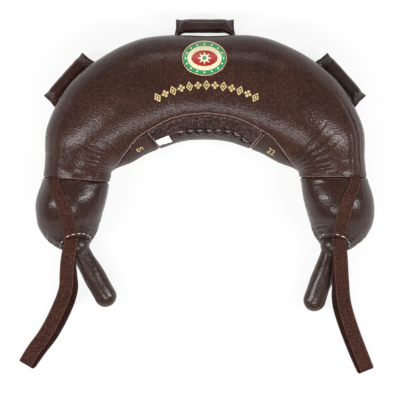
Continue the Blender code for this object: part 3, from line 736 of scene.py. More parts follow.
HIDES = {name: leather_finish(name, *look) for name, look in (
    ("chocolate_leather", ((68, 42, 34), (48, 29, 24), (102, 70, 59), 0.20, 2.6, 0.22, 0.38)),
    ("pouch_leather", ((60, 37, 30), (40, 24, 19), (90, 62, 53), 0.19, 2.6, 0.32, 0.32)),
    ("gusset_leather", ((68, 44, 37), (48, 30, 25), (98, 70, 62), 0.32, 2.4, 0.16, 0.6)),
    ("horn_leather", ((60, 39, 32), (40, 25, 20), (92, 66, 57), 0.24, 2.6, 0.40, 0.16)),
    ("flap_leather", ((64, 42, 36), (36, 22, 18), (136, 104, 98), 0.30, 3.2, 0.22, 1.1)),
    ("grip_leather_russet", ((70, 38, 29), (48, 26, 20), (92, 58, 47), 0.17, 2.4, 0.40, 0.25)),
    ("grip_leather_brown", ((70, 48, 42), (48, 33, 29), (92, 70, 62), 0.18, 2.4, 0.40, 0.25)),
    ("grip_leather_dark", ((60, 44, 40), (40, 29, 26), (84, 68, 62), 0.17, 2.4, 0.40, 0.25)),
    ("lace_leather", ((30, 19, 16), (15, 9, 8), (70, 48, 42), 0.35, 0.9, 0.34, 1.0)),
)}


# %% [markdown]
# A cut edge of this leather is paler and redder than its face, and the thread is a dusty pink.

# %% Raw edge, thread and gold
def raw_edge_finish():
    made = Finish("raw_leather_edge", 0.7)
    fuzz = made.noise(made.spot, 1 / (0.8 * MM), 4.0, 0.7)
    tone = made.mix(made.spread(fuzz, 0.3, 0.75), (96, 66, 60), (176, 142, 134))
    return made.shade(Base_Color=tone, Normal=made.bump(fuzz, 0.2 * MM))


def thread_finish(name, dark, light):
    made = Finish(name, 0.55)
    twist = made.noise(made.spot, 1 / (0.5 * MM), 2.0)
    tone = made.mix(made.spread(twist, 0.3, 0.7), dark, light)
    return made.shade(Base_Color=tone, Normal=made.bump(twist, 0.08 * MM), Sheen_Weight=0.25)


def gold_finish():
    made = Finish("stamped_gold", 0.34)
    wear = made.noise(made.spot, 1 / (1.1 * MM), 4.0, 0.65)
    tone = made.mix(made.spread(wear, 0.40, 0.72), (236, 214, 158), (176, 140, 84))
    rough = made.spread(wear, 0.3, 0.7, 0.26, 0.46)
    return made.shade(Base_Color=tone, Roughness=rough, Metallic=0.35,
                      Normal=made.bump(wear, 0.08 * MM))


RAW_EDGE = raw_edge_finish()
GOLD = gold_finish()
THREADS = {name: thread_finish(name, dark, light) for name, dark, light in (
    # Pale: partly the cut edge's own tone and partly a painted highlight along it.
    ("pale_edge_and_highlight", (84, 58, 50), (150, 118, 108)),
    ("seam_thread", (150, 110, 100), (214, 180, 168)),
    ("brown_thread", (56, 36, 30), (96, 68, 60)),
    ("neck_thread", (196, 160, 150), (246, 226, 218)),
    # Near black: painted shadow in the groove of the neck's seam.
    ("neck_shadow_cord", (24, 15, 12), (44, 28, 24)),
    ("tape_thread_left", (58, 30, 24), (92, 54, 44)),
    ("tape_thread_right", (58, 30, 24), (92, 54, 44)),
)}


# %% [markdown]
# The webbing is a heavy woven tape. Its pieces carry a UV map in metres, along and across the
# tape, so the weave follows every bend. Two crossed waves give the over and under of the
# threads, and small random steps in colour keep it from looking printed.

# %% Webbing
WEB_WIDTH = 25 * MM
WEB_THICKNESS = 1.6 * MM
WEB_HALF = WEB_WIDTH / 2
WEFT_PITCH = 5.2 * MM
WARP_PITCH = 4.7 * MM


def webbing_finish():
    made = Finish("brown_webbing", 0.82)
    along, across = made.tape_way()
    picks = made.math("SINE", made.math("MULTIPLY", along, tau / WEFT_PITCH))
    ends = made.math("SINE", made.math("MULTIPLY", across, tau / WARP_PITCH))
    weave = made.spread(made.math("MULTIPLY", picks, ends), -1.0, 1.0)
    fuzz = made.noise(made.spot, 1 / (0.45 * MM), 3.0, 0.7)
    cloud = made.noise(made.spot, 1 / (14 * MM), 3.0)
    flecks = made.noise(made.spot, 1 / (2.6 * MM), 1.0)
    tone = made.mix(made.spread(cloud, 0.3, 0.7), (46, 25, 19), (60, 33, 26))
    # The raised crossings of the weave are painted paler: a painted highlight on the tops of the
    # threads.
    tone = made.mix(made.math("MULTIPLY", weave, 0.6), tone, (88, 53, 44))
    tone = made.mix(made.spread(flecks, 0.52, 0.66, 0.0, 0.45), tone, (118, 76, 64))
    tone = made.mix(made.spread(flecks, 0.34, 0.46, 0.6, 0.0), tone, (34, 17, 13))
    from_middle = made.math("ABSOLUTE", made.math("SUBTRACT", across, WEB_HALF))
    tone = made.mix(made.spread(from_middle, WEB_HALF - 2.6 * MM, WEB_HALF - 2.0 * MM, 0.0, 0.6),
                    tone, (112, 76, 65))
    tone = made.mix(made.spread(from_middle, WEB_HALF - 1.1 * MM, WEB_HALF - 0.7 * MM, 0.0, 0.8),
                    tone, (26, 13, 10))
    tone = made.mix(made.spread(fuzz, 0.35, 0.7, 0.5, 0.0), tone, (30, 15, 12))
    # Painted shade: the lower ply of a loop darkens under the upper one.
    tone = made.mix(made.painted_shade(), tone, (14, 7, 5))
    height = made.math("ADD", weave, made.math("MULTIPLY", fuzz, 0.6))
    return made.shade(Base_Color=tone, Normal=made.bump(height, 0.6 * MM),
                      Specular_IOR_Level=0.12)


WEBBING = webbing_finish()
print(len(bpy.data.materials), "materials so far")


# %% [markdown]
# ## Building pieces
# A sheet of leather starts as a flat grid. Each vertex is then carried to its own place and
# angle on the form. A Solidify modifier gives it the thickness of the hide afterwards.

# %% Make an object from a mesh
def finished(name, builder, materials, body, replaced=(), smooth=True):
    mesh = bpy.data.meshes.new(name)
    builder.to_mesh(mesh)
    builder.free()
    for material in materials:
        mesh.materials.append(material)
    if smooth:
        mesh.shade_smooth()
    piece = linked(name, mesh)
    if body is not None:
        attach(piece, body)
    if replaced:
        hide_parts(*replaced)
    print(name, len(mesh.polygons), "faces")
    return piece


def thicken(piece, thickness, rim_offset=0):
    wall = piece.modifiers.new("hide_thickness", "SOLIDIFY")
    wall.thickness = thickness
    wall.offset = -1.0
    wall.material_offset_rim = rim_offset
    return piece


# %% Carry a grid onto the form
def laid_grid(rows, columns, edges, point_of, uv_size=(1.0, 1.0)):
    """A grid whose vertices go where point_of(row, value) says, which also gives the painted
    shade.
    """
    builder = bmesh.new()
    painted_shade = builder.verts.layers.float.new("painted_shade")
    uv = builder.loops.layers.uv.new("UVMap")
    bmesh.ops.create_grid(builder, x_segments=len(rows) - 1, y_segments=columns, size=1.0)
    flat = {vertex: vertex.co.copy() for vertex in builder.verts}
    for vertex in builder.verts:
        row = rows[round((flat[vertex].x + 1) / 2 * (len(rows) - 1))]
        low, high = edges(row)
        value = low + (high - low) * (flat[vertex].y + 1) / 2
        vertex.co, vertex[painted_shade] = point_of(row, value)
    for face in builder.faces:
        for loop in face.loops:
            loop[uv].uv = ((flat[loop.vert].x + 1) / 2 * uv_size[0],
                           (flat[loop.vert].y + 1) / 2 * uv_size[1])
    return builder


def face_outwards(builder, inside):
    """Turns the faces round if they look towards the point inside."""
    builder.normal_update()
    outward = sum((face.calc_center_median() - inside(face)).dot(face.normal)
                  for face in builder.faces)
    if outward < 0:
        bmesh.ops.reverse_faces(builder, faces=builder.faces)
    return builder


def even_places(start, end, step):
    count = max(1, round((end - start) / step))
    return [start + (end - start) * index / count for index in range(count + 1)]


def leather_panel(name, rows, columns, edges, materials, rim_offset=0):
    def on_leather(row, value):
        place = slanted(row, value)
        return leather_point(place, value), lie(place, value)[1]

    builder = laid_grid(rows, columns, edges, on_leather)
    level = tube_middle(rows[len(rows) // 2]).z
    face_outwards(builder, lambda face: Vector((*face.calc_center_median().xy, level)))
    piece = finished(name, builder, materials, "bag", (name,))
    thicken(piece, LEATHER, rim_offset)
    return piece


# %% [markdown]
# ## The crescent
# The front panel is one wide piece of hide, from the outer seam over the top to the gusset. It
# carries the creases of the elbows, so its grid is the finest: about two millimetres a square.

# %% Front and back panels
def outer_edge(_place):
    return OUTER_SEAM


def outer_edge_below(_place):
    return OUTER_SEAM + tau


def between(low, high):
    return lambda place: (low(place), high(place))


front_panel = leather_panel("front_panel", even_places(-POUCH_SEAM, POUCH_SEAM, 0.027), 100,
                            between(outer_edge, front_edge), [HIDES["chocolate_leather"]])
leather_panel("back_panel", even_places(-POUCH_SEAM, POUCH_SEAM, 0.05), 72,
              between(back_edge, outer_edge_below), [HIDES["chocolate_leather"]])

# %% Gussets
for side, sign in SIDES:
    places = sorted(sign * place for place in even_places(FLAP_END, POUCH_SEAM, 0.04))
    leather_panel(f"gusset_{side}", places, 24, between(front_edge, back_edge),
                  [HIDES["gusset_leather"]])

# %% Pouches
def side_edge(_place):
    return pi / 2


for side, sign in SIDES:
    places = sorted(sign * place for place in even_places(POUCH_SEAM + 0.002, NECK_END, 0.04))
    leather_panel(f"pouch_front_{side}", places, 90, between(outer_edge, side_edge),
                  [HIDES["pouch_leather"]])
    leather_panel(f"pouch_back_{side}", places, 72, between(side_edge, outer_edge_below),
                  [HIDES["pouch_leather"]])

# %% [markdown]
# ## Lacing
# Both flaps end in a scalloped edge along the slit. The Solidify modifier gives the cut edges
# a second material, so the raw hide shows between the turns of the lace.

# %% Flaps
def slit_gape(place):
    wave = between_turns(place)
    return 0.15 * MM if wave is None else SLIT_WIDTH / 2 + SCALLOP * wave


def flap_edges(name):
    def edges(place):
        slit = slit_angle(place)
        gape = slit_gape(place) / round_speed(place, slit)
        if name == "lacing_flap_front":
            return front_edge(place), slit - gape
        return slit + gape, back_edge(place)
    return edges


flap_rows = even_places(-FLAP_END, FLAP_END, 0.0125)
for name in ("lacing_flap_front", "lacing_flap_back"):
    leather_panel(name, flap_rows, 22, flap_edges(name), [HIDES["flap_leather"], RAW_EDGE],
                  rim_offset=1)


# %% [markdown]
# The lace is one cord. It goes down through the front flap, back under the slit, up through
# the rear flap and over the edges to the next pair of holes, so it is drawn as a curve with
# a round bevel and then made a mesh.

# %% A cord along points
def from_curve(data):
    """A bmesh of what a curve or text looks like when it is drawn."""
    holder = linked("drawn", data)
    graph = bpy.context.evaluated_depsgraph_get()
    mesh = bpy.data.meshes.new_from_object(holder.evaluated_get(graph))
    builder = bmesh.new()
    builder.from_mesh(mesh)
    bpy.data.objects.remove(holder)
    bpy.data.meshes.remove(mesh)
    return builder


def closed_up(builder):
    """Joins doubled vertices and turns all faces outwards."""
    bmesh.ops.remove_doubles(builder, verts=builder.verts, dist=0.01 * MM)
    bmesh.ops.recalc_face_normals(builder, faces=builder.faces)
    return builder


def cord_builder(points, radius, sides=10, cyclic=False):
    """A bmesh of a round cord along points."""
    curve = bpy.data.curves.new("cord", "CURVE")
    curve.dimensions = "3D"
    spline = curve.splines.new("POLY")
    spline.points.add(len(points) - 1)
    for target, point in zip(spline.points, points):
        target.co = (*point, 1.0)
    spline.use_cyclic_u = cyclic
    curve.bevel_depth = radius
    curve.bevel_resolution = sides // 2 - 2
    curve.use_fill_caps = not cyclic
    return closed_up(from_curve(curve))


LACE_RADIUS = 1.3 * MM
LACE_MARGIN = 5.2 * MM
LACE_RISE = 4.4 * MM
LACE_STEPS = 28
LACE_SQUARENESS = 0.6


def rounded_square(value):
    return copysign(abs(value) ** LACE_SQUARENESS, value)


def lace_points():
    points = []
    pitch = (SLIT_END - SLIT_START) / STITCHES
    for index in range(STITCHES * LACE_STEPS + LACE_STEPS // 2 + 1):
        turn = tau * (index % LACE_STEPS) / LACE_STEPS - pi
        start = SLIT_START + pitch * (index // LACE_STEPS)
        following = min(start + pitch, SLIT_END)
        advance = min(1.0, max(0.0, (turn - pi / 6) / (tau / 3)))
        place = start + (following - start) * advance
        angle = slit_angle(place)
        angle += LACE_MARGIN * rounded_square(cos(turn)) / round_speed(place, angle)
        rise = LACE_RISE * rounded_square(sin(turn)) - LEATHER / 2
        points.append(tube_point(place, angle, -rise))
    return points


finished("lace", cord_builder(lace_points(), LACE_RADIUS, 12), [HIDES["lace_leather"]], "bag",
         ("lace",))

# %% [markdown]
# A small white label of woven tape is sewn in at the left end of the slit. It is left blank.

# %% Label
LABEL_WIDTH = 25 * MM
LABEL_HEIGHT = 17 * MM
RUN_SEAT = 0.8 * MM


def label_finish():
    made = Finish("white_label", 0.75)
    ribs = made.math("SINE", made.math("MULTIPLY", made.tape_way()[1], tau / (0.6 * MM)))
    fuzz = made.noise(made.spot, 1 / (0.5 * MM))
    tone = made.mix(fuzz, (236, 236, 234), (252, 252, 250))
    return made.shade(Base_Color=tone, Normal=made.bump(made.math("ADD", ribs, fuzz), 0.05 * MM))


label_middle = -FLAP_END + place_step(LABEL_WIDTH * 0.625, FLAP_END, pi / 3)
label_half = place_step(LABEL_WIDTH / 2, label_middle, pi / 3)
label_rows = even_places(label_middle - label_half, label_middle + label_half, label_half / 12)


def label_edges(place):
    top = slit_angle(place) - 1.0 * MM / round_speed(place, slit_angle(place))
    return top, top + LABEL_HEIGHT / round_speed(place, top)


def label_point(place, angle):
    top, bottom = label_edges(place)
    share = (angle - top) / (bottom - top)
    along = (place - label_rows[0]) / (2 * label_half)
    curl = 2.2 * MM * share ** 2 * (0.5 + along)
    return tube_point(place, angle, -RUN_SEAT - curl), 0.0


builder = laid_grid(label_rows, 14, label_edges, label_point, (LABEL_WIDTH, LABEL_HEIGHT))
face_outwards(builder, lambda face: tube_middle(label_middle))
thicken(finished("label_tag", builder, [label_finish()], "bag", ("label_tag",)),
        0.5 * MM)

# %% [markdown]
# ## Stitches
# A sewn seam is a row of short thread ends, each a small drawn-out ball. The function walks
# along a line of points and sets one stitch after another, each kind of seam at its own pitch.


# %% Rows of stitches
def walk(points, pitch, length):
    """Start and end of each stitch along a line of points."""
    marks = [0.0]
    for first, second in zip(points, points[1:]):
        marks.append(marks[-1] + (second - first).length)

    def at(mark):
        index = 0
        while index < len(marks) - 2 and marks[index + 1] < mark:
            index += 1
        span = marks[index + 1] - marks[index] or 1.0
        return points[index].lerp(points[index + 1], (mark - marks[index]) / span)

    count = int((marks[-1] - length) / pitch) + 1
    return [(at(index * pitch), at(index * pitch + length)) for index in range(count)]


STITCH_SIZES = {  # pitch, length and radius in mm
    "seam": (4.0, 3.3, 0.55),
    "fold": (4.0, 3.3, 0.36),
    "tape": (3.2, 2.4, 0.28),
    "neck": (10.6, 7.6, 0.8),
}


def stitch_builder(lines, kind, sides=6, rings=5):
    pitch, length, radius = (size * MM for size in STITCH_SIZES[kind])
    builder = bmesh.new()
    for points in lines:
        for start, end in walk(points, pitch, length):
            made = bmesh.ops.create_uvsphere(builder, u_segments=sides, v_segments=rings,
                                             radius=1.0)
            turn = (end - start).to_track_quat("Z", "Y").to_matrix().to_4x4()
            size = Matrix.Diagonal((radius, radius, (end - start).length / 2, 1.0))
            bmesh.ops.transform(builder, verts=made["verts"],
                                matrix=Matrix.Translation((start + end) / 2) @ turn @ size)
    return builder


def leather_line(angle_of, start, end, lift, step=0.02):
    """Points just above the leather along the crescent."""
    return [leather_point(slanted(row, angle_of(row)), angle_of(row), lift)
            for row in even_places(start, end, step)]


def round_line(row, first, last, lift):
    """Points round the crescent at one row, between two angles in degrees."""
    angles = [radians(angle) for angle in range(first, last, 2)]
    return [leather_point(slanted(row, angle), angle, lift) for angle in angles]


SEAM_MARGIN = 2.6 * MM
FOLD_MARGIN = 2.3 * MM
EDGE_RADIUS = 0.45 * MM
SLIT_EDGE_RADIUS = 0.55 * MM


def beside(seam, margin):
    return lambda place: seam(place) + margin / round_speed(place, seam(place))


front_line = leather_line(beside(front_edge, -SEAM_MARGIN), -4.9, 4.9, 0.2 * MM)
cross_lines = []
for place, margins in ((-FLAP_END, (1.6,)), (FLAP_END, (-1.6, 1.8))):
    for margin in margins:
        row = place + place_step(margin * MM, place, pi / 2)
        first, last = front_edge(row), back_edge(row)
        cross_lines.append([leather_point(row, first + (last - first) * step / 40, 0.2 * MM)
                            for step in range(1, 40)])
finished("gusset_stitches", stitch_builder([front_line, *cross_lines], "seam"),
         [THREADS["seam_thread"]], "bag")

pouch_lines, edge_lines = [], []
for sign in (-1, 1):
    row = sign * (POUCH_SEAM - place_step(FOLD_MARGIN, POUCH_SEAM - 0.05, 0.0))
    pouch_lines.append(round_line(row, -100, 89, 0.12 * MM))
    edge_lines.append(round_line(sign * 4.995, -104, 90, -0.1 * MM))
finished("pouch_seam_stitches", stitch_builder(pouch_lines, "fold"), [THREADS["brown_thread"]],
         "bag")

# %% Cut edges of the front panel
# The cords' pale colour is partly the cut edges' own tone and partly a painted highlight on them.
edge_lines.append(leather_line(beside(front_edge, -0.4 * MM), -4.97, 4.97, -0.1 * MM))
for name, points in zip(("left", "right", "inner"), edge_lines):
    finished(f"cut_edge_{name}", cord_builder(points, EDGE_RADIUS, 8),
             [THREADS["pale_edge_and_highlight"]], "bag")


# %% [markdown]
# The raw edge of the front flap catches the light, so a thin pale cord follows its scallops.

# %% Pale edge of the slit
def slit_line(place):
    slit = slit_angle(place)
    return slit - (slit_gape(place) + 0.4 * MM) / round_speed(place, slit)


points = leather_line(slit_line, SLIT_START, SLIT_END, 0.2 * MM, 0.0125)
finished("slit_edge", cord_builder(points, SLIT_EDGE_RADIUS, 8), [THREADS["seam_thread"]], "bag")

# %% [markdown]
# ## Webbing
# A tape is sewn down each pouch, from the seam to the neck. There it leaves the bag as a loop
# for the hand: out over the floor, round a fold and back beneath itself.

# %% Tape sewn on the pouches
RUN_ANGLES = (-40, -14, -3, 0, -3, -10)


def run_angle(place):
    """Middle of the tape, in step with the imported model."""
    along = min(abs(place), NECK_END) - POUCH_SEAM
    index = min(int(along), len(RUN_ANGLES) - 2)
    return radians(smooth_between(*with_neighbours(RUN_ANGLES, index), along - index))


def run_edges(place):
    middle = run_angle(place)
    half = WEB_HALF / round_speed(place, middle)
    return middle - half, middle + half


@lru_cache(maxsize=None)
def run_height(place):
    """The tape bridges the pleats: it lies as high as the highest leather beneath it."""
    low, high = run_edges(place)
    angles = [low + (high - low) * step / 6 for step in range(7)]
    return max(lie(slanted(place, angle), angle)[0] for angle in angles)


def run_point(lift):
    def point(place, angle):
        return tube_point(slanted(place, angle), angle, -run_height(place) - lift), 0.0
    return point


for side, sign in SIDES:
    places = sorted(sign * place for place in even_places(POUCH_SEAM - 0.02, 9.9, 0.05))
    length = abs(run_length(places[-1]) - run_length(places[0]))
    builder = laid_grid(places, 10, run_edges, run_point(0.1 * MM + WEB_THICKNESS),
                        (length, WEB_WIDTH))
    face_outwards(builder, lambda face: tube_middle(places[len(places) // 2]))
    tape = finished(f"strap_run_{side}", builder, [WEBBING], "bag",
                    (f"strap_run_{side}",))
    thicken(tape, WEB_THICKNESS)
    lines = []
    for margin in (-1, 1):
        lines.append([tube_point(place, run_angle(place) + margin * (WEB_HALF - 2 * MM)
                                 / round_speed(place, run_angle(place)),
                                 -run_height(place) - WEB_THICKNESS - 0.15 * MM)
                      for place in even_places(sign * 5.05, sign * 9.8, 0.05)])
    finished(f"tape_stitches_{side}", stitch_builder(lines, "tape"),
             [THREADS[f"tape_thread_{side}"]], "bag")

# %% The way of the loops
LOOP_LENGTH = 243 * MM
LOOP_FOLD_RADIUS = 5.4 * MM
LOOP_ROOT_SPACE = 0.4 * MM
LOOP_STEPS = 8
FOLD_STEPS = 12
WEB_SEAT = 0.8 * MM
PLY_SPACE = 0.3 * MM
LOOP_ROUTE_SHARES = {
    "left": (
        (0.000, 0.000, 1.013, 0.987, 0.000), (0.010, 0.070, 1.020, 0.992, 0.000),
        (0.026, 0.160, 0.985, 0.932, 0.010), (0.034, 0.260, 0.872, 0.790, 0.024),
        (0.040, 0.345, 0.670, 0.510, 0.034), (0.062, 0.420, 0.440, 0.240, 0.040),
        (0.092, 0.490, 0.290, 0.080, 0.044), (0.140, 0.592, 0.205, 0.025, 0.044),
        (0.203, 0.704, 0.180, 0.018, 0.042), (0.282, 0.812, 0.175, 0.018, 0.038),
        (0.336, 0.900, 0.175, 0.020, 0.030),
    ),
    "right": (
        (0.000, 0.000, 1.013, 0.987, 0.000), (0.008, 0.070, 1.020, 0.992, 0.000),
        (0.015, 0.160, 1.000, 0.947, 0.008), (0.021, 0.260, 0.938, 0.855, 0.020),
        (0.028, 0.345, 0.835, 0.745, 0.024), (0.037, 0.420, 0.560, 0.360, 0.030),
        (0.054, 0.500, 0.330, 0.110, 0.034), (0.084, 0.600, 0.215, 0.028, 0.034),
        (0.124, 0.715, 0.180, 0.018, 0.032), (0.168, 0.830, 0.175, 0.018, 0.030),
        (0.212, 0.942, 0.175, 0.020, 0.024),
    ),
}
ROOT_SKEW_SHARES = (1.0, 0.95, 0.9, 0.85, 0.8, 0.72, 0.64, 0.55, 0.47, 0.38, 0.3, 0.24, 0.17,
                    0.1, 0.05)


def smooth_rows(rows, steps):
    made = []
    for index in range(len(rows) - 1):
        near = with_neighbours(rows, index)
        made += [[smooth_between(*values, step / steps) for values in zip(*near)]
                 for step in range(steps)]
    return made + [rows[-1]]


def stitch_spot(sign):
    """Where the loop leaves the neck, on top of its rim."""
    point = plain_point(NECK_END, run_angle(NECK_END), 0.0)
    top = plain_point(NECK_END, 0.0, 0.0)
    height = top.z + WEB_SEAT + WEB_THICKNESS + PLY_SPACE / 2
    return Vector((sign * point.x, top.y, height)) + BAG_PLACE


def loop_line(side, sign):
    """Middle line of a loop and the direction across the tape at each of its points."""
    spot = stitch_spot(sign)
    front, back = [], []
    for across, along, front_share, back_share, slip in smooth_rows(
            LOOP_ROUTE_SHARES[side], LOOP_STEPS):
        flat = Vector((sign * across, -along, 0.0)) * LOOP_LENGTH
        flat.y -= LOOP_ROOT_SPACE
        inward = Vector((-sign * slip * LOOP_LENGTH, 0.0, 0.0))
        front.append(spot + flat + Vector((0.0, 0.0, spot.z * (front_share - 1))))
        back.append(spot + flat + inward + Vector((0.0, 0.0, spot.z * (back_share - 1))))
    heads = []
    for index in range(len(front)):
        ahead = front[min(index + 1, len(front) - 1)] - front[max(index - 1, 0)]
        ahead.z = 0.0
        heads.append(ahead.normalized())
    fold = []
    for step in range(1, FOLD_STEPS):
        turn = pi * step / FOLD_STEPS
        reach = heads[-1] * LOOP_FOLD_RADIUS * sin(turn)
        fold.append(front[-1].lerp(back[-1], (1 - cos(turn)) / 2) + reach)
    across = []
    rim_turn = tan(radians(NECK_SHARES[3] - 90))
    for index, ahead in enumerate(heads):
        skew = ROOT_SKEW_SHARES[index] if index < len(ROOT_SKEW_SHARES) else 0.0
        across.append(Vector((-ahead.y, ahead.x, 0.0)) + ahead * sign * skew * rim_turn)
    return front + fold + back[::-1], across + [across[-1]] * len(fold) + across[::-1]


# %% [markdown]
# Only an edge of the lower ply shows, in the shade of the upper one. Painted shade darkens it,
# most along a line a little way in from its outer edge.

# %% Loops for the hands
LOOP_SHADE_INSET = 8 * MM
LOOP_SHADE_REACH = 2.2 * MM
LOOP_SHADE_LEAST = 0.3

for side, sign in SIDES:
    middles, across = loop_line(side, sign)

    def loop_point(row, value):
        ahead = middles[min(row + 1, len(middles) - 1)] - middles[max(row - 1, 0)]
        normal = across[row].cross(ahead).normalized()
        cup = 0.35 * MM * wobble(row / 9, value / (14 * MM), sign * 4.0)
        gap = abs(value - sign * (WEB_HALF - LOOP_SHADE_INSET))
        shade = LOOP_SHADE_LEAST + (1 - LOOP_SHADE_LEAST) * fall(gap, LOOP_SHADE_REACH)
        below = row > len(middles) / 2
        return middles[row] + across[row] * value + normal * cup, shade if below else 0.0

    length = sum((second - first).length for first, second in zip(middles, middles[1:]))
    builder = laid_grid(list(range(len(middles))), 16,
                        lambda row: (-WEB_HALF, WEB_HALF), loop_point,
                        (length, WEB_WIDTH))
    loop = finished(f"strap_loop_{side}", builder, [WEBBING], None,
                    (f"strap_loop_{side}",))
    thicken(loop, WEB_THICKNESS).modifiers["hide_thickness"].offset = 0.0
    root = stitch_spot(sign)
    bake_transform(loop)
    print(f"{side} loop: {length * 1000:.0f} mm of tape")

# %% [markdown]
# ## Necks
# The pouch is gathered at its neck and bound with a thin cord, whose near-black colour is
# painted shadow in the neck's seam. A heavy pale thread goes round it in long stitches, through
# the tape and the hide together.

# %% Where the neck is stitched
NECK_SEAM = 9.93
NECK_SEAM_ARC = 0.52


def neck_arc(angle):
    """Place of the neck's stitches: the seam runs back in an arc over the front."""
    return NECK_SEAM - NECK_SEAM_ARC * max(0.0, cos(angle - 0.15)) ** 1.3


# %% The neck's seam and its heavy stitches
RING_STEPS = 120
NECK_CORD_RADIUS = 0.9 * MM


def ring_points(sign, lift):
    points = []
    for step in range(RING_STEPS):
        angle = tau * step / RING_STEPS - pi
        place = sign * neck_arc(angle)
        low, high = run_edges(place)
        over = fade((angle - low + 0.12) / 0.12) * fade((high + 0.12 - angle) / 0.12)
        height = lie(place, angle)[0]
        height += over * (run_height(place) + WEB_THICKNESS + 0.1 * MM - height)
        points.append(tube_point(place, angle, -height - lift))
    return points


for side, sign in SIDES:
    builder = cord_builder(ring_points(sign, 0.1 * MM), NECK_CORD_RADIUS, 10, cyclic=True)
    finished(f"neck_shadow_cord_{side}", builder, [THREADS["neck_shadow_cord"]], "bag")
    ring = ring_points(sign, 0.9 * MM)
    finished(f"neck_stitches_{side}", stitch_builder([ring + ring[:1]], "neck", 8, 8),
             [THREADS["neck_thread"]], "bag")

# %% [markdown]
# ## End handles
# An end handle is a sewn and stuffed leather tube with a round tip. Its root swells into a ball
# inside the neck, which is why it can swing without leaving the pouch.

# %% Horn profile
HORN_RADIUS = 19.5 * MM
HORN_ROOT_RADIUS = 17.4 * MM
HORN_BALL_RADIUS = 23.5 * MM
HORN_LENGTH = 124 * MM
HORN_MOUTH_RADIUS = 14 * MM
HORN_WALL = 2 * MM
HORN_DROOP = radians(7)
HORN_LEANS = {"left": radians(29.3), "right": radians(18.7)}


def arc_points(centre, radius, start, end, count):
    points = []
    for index in range(count + 1):
        angle = start + (end - start) * index / count
        points.append((centre - radius * cos(angle), radius * sin(angle)))
    return points


def horn_profile(inset):
    ball = HORN_BALL_RADIUS - inset
    mouth = asin((HORN_MOUTH_RADIUS - inset) / ball)
    leave = pi - asin((HORN_ROOT_RADIUS - inset) / ball)
    profile = arc_points(0.0, ball, mouth, leave, 20)
    start = profile[-1]
    body = HORN_RADIUS - inset
    for step in range(1, 40):
        share = step / 40
        along = start[0] + (HORN_LENGTH - HORN_RADIUS - start[0]) * share
        profile.append((along, start[1] + (body - start[1]) * fade(share * 1.6)))
    profile += arc_points(HORN_LENGTH - HORN_RADIUS, body, pi / 2, pi, 18)
    profile[-1] = (HORN_LENGTH - inset, 0.0)
    return profile


def turned_builder(profile, sides):
    builder = bmesh.new()
    points = [builder.verts.new((radius, -along, 0.0)) for along, radius in profile]
    edges = [builder.edges.new(pair) for pair in zip(points, points[1:])]
    bmesh.ops.spin(builder, geom=points + edges, cent=(0, 0, 0), axis=(0, 1, 0),
                   angle=tau, steps=sides, use_merge=True)
    return closed_up(builder)


# %% Shape and place the horns
def horn_creases(along, turn, seed):
    """Depth of the creases: gathers at the root and a long soft groove."""
    root = fade((0.42 - along) / 0.30)
    gathers = abs(sin(turn * 5.5 + 1.5 * wobble(turn, along * 3, seed)))
    groove = bell(sin((turn - 1.15) / 2), 0.10) * fade(1.15 - along)
    lumps = noise.noise(Vector((cos(turn), sin(turn), along * 4 + seed)) * 1.3)
    ripples = wobble(cos(turn) * 2, sin(turn) * 2, along * 22 + seed)
    return (0.7 * root * (1 - gathers) + 0.5 * groove - 1.0 * lumps + 0.2 * ripples) * MM


for side, sign in SIDES:
    pivot = Vector(JOINTS[f"horn_{side}_swing"]["pos_m"])
    turn = Matrix.Rotation(HORN_DROOP, 4, "X") @ Matrix.Rotation(-sign * HORN_LEANS[side], 4, "Z")
    builder = turned_builder(horn_profile(0.0), 64)
    for vertex in builder.verts:
        along = -vertex.co.y / HORN_LENGTH
        if along > 0.1:
            round_way = Vector((vertex.co.x, 0.0, vertex.co.z))
            radius = round_way.length
            depth = horn_creases(along, atan2(round_way.z, round_way.x), sign * 5.0)
            if radius > 0.1 * MM:
                vertex.co -= round_way / radius * depth * min(1.0, radius / (8 * MM))
    bmesh.ops.transform(builder, verts=builder.verts, matrix=Matrix.Translation(pivot) @ turn)
    horn = finished(f"horn_leather_{side}", builder, [HIDES["horn_leather"]], f"horn_{side}",
                    (f"horn_leather_{side}",))
    thicken(horn, HORN_WALL)

# %% [markdown]
# ## Top handles
# Each top handle is a strip of leather rolled round a short rope. Its two ends are pinched flat
# and sewn into the outer seam, so the roll opens like a tube that was stepped on.

# %% Grip form
HANDLE_SPACING = 102 * MM
GRIP_RADIUS = 11.3 * MM
GRIP_REACH = 22 * MM
GRIP_ROUND_HALF = 33 * MM
PINCH_HALF_WIDTH = 17.2 * MM
PINCH_HALF_THICKNESS = 2.6 * MM
GRIP_WALL = 2 * MM
HANDLE_TILT = radians(36)
SEAM_TUCK = 3.5 * MM
EAR_RISE = 4.5 * MM
GRIP_SAG = 2.4 * MM
FOOT_FLARE = 3.0 * MM
EAR_START = 36 * MM
EAR_RUN = 14 * MM


def pinch_share(along):
    half = HANDLE_SPACING / 2
    return fade((abs(along) - GRIP_ROUND_HALF) / (half - GRIP_ROUND_HALF))


def ear_share(along):
    """The outer corners stand up a little past the roll."""
    return fade((abs(along) - EAR_START) / EAR_RUN)


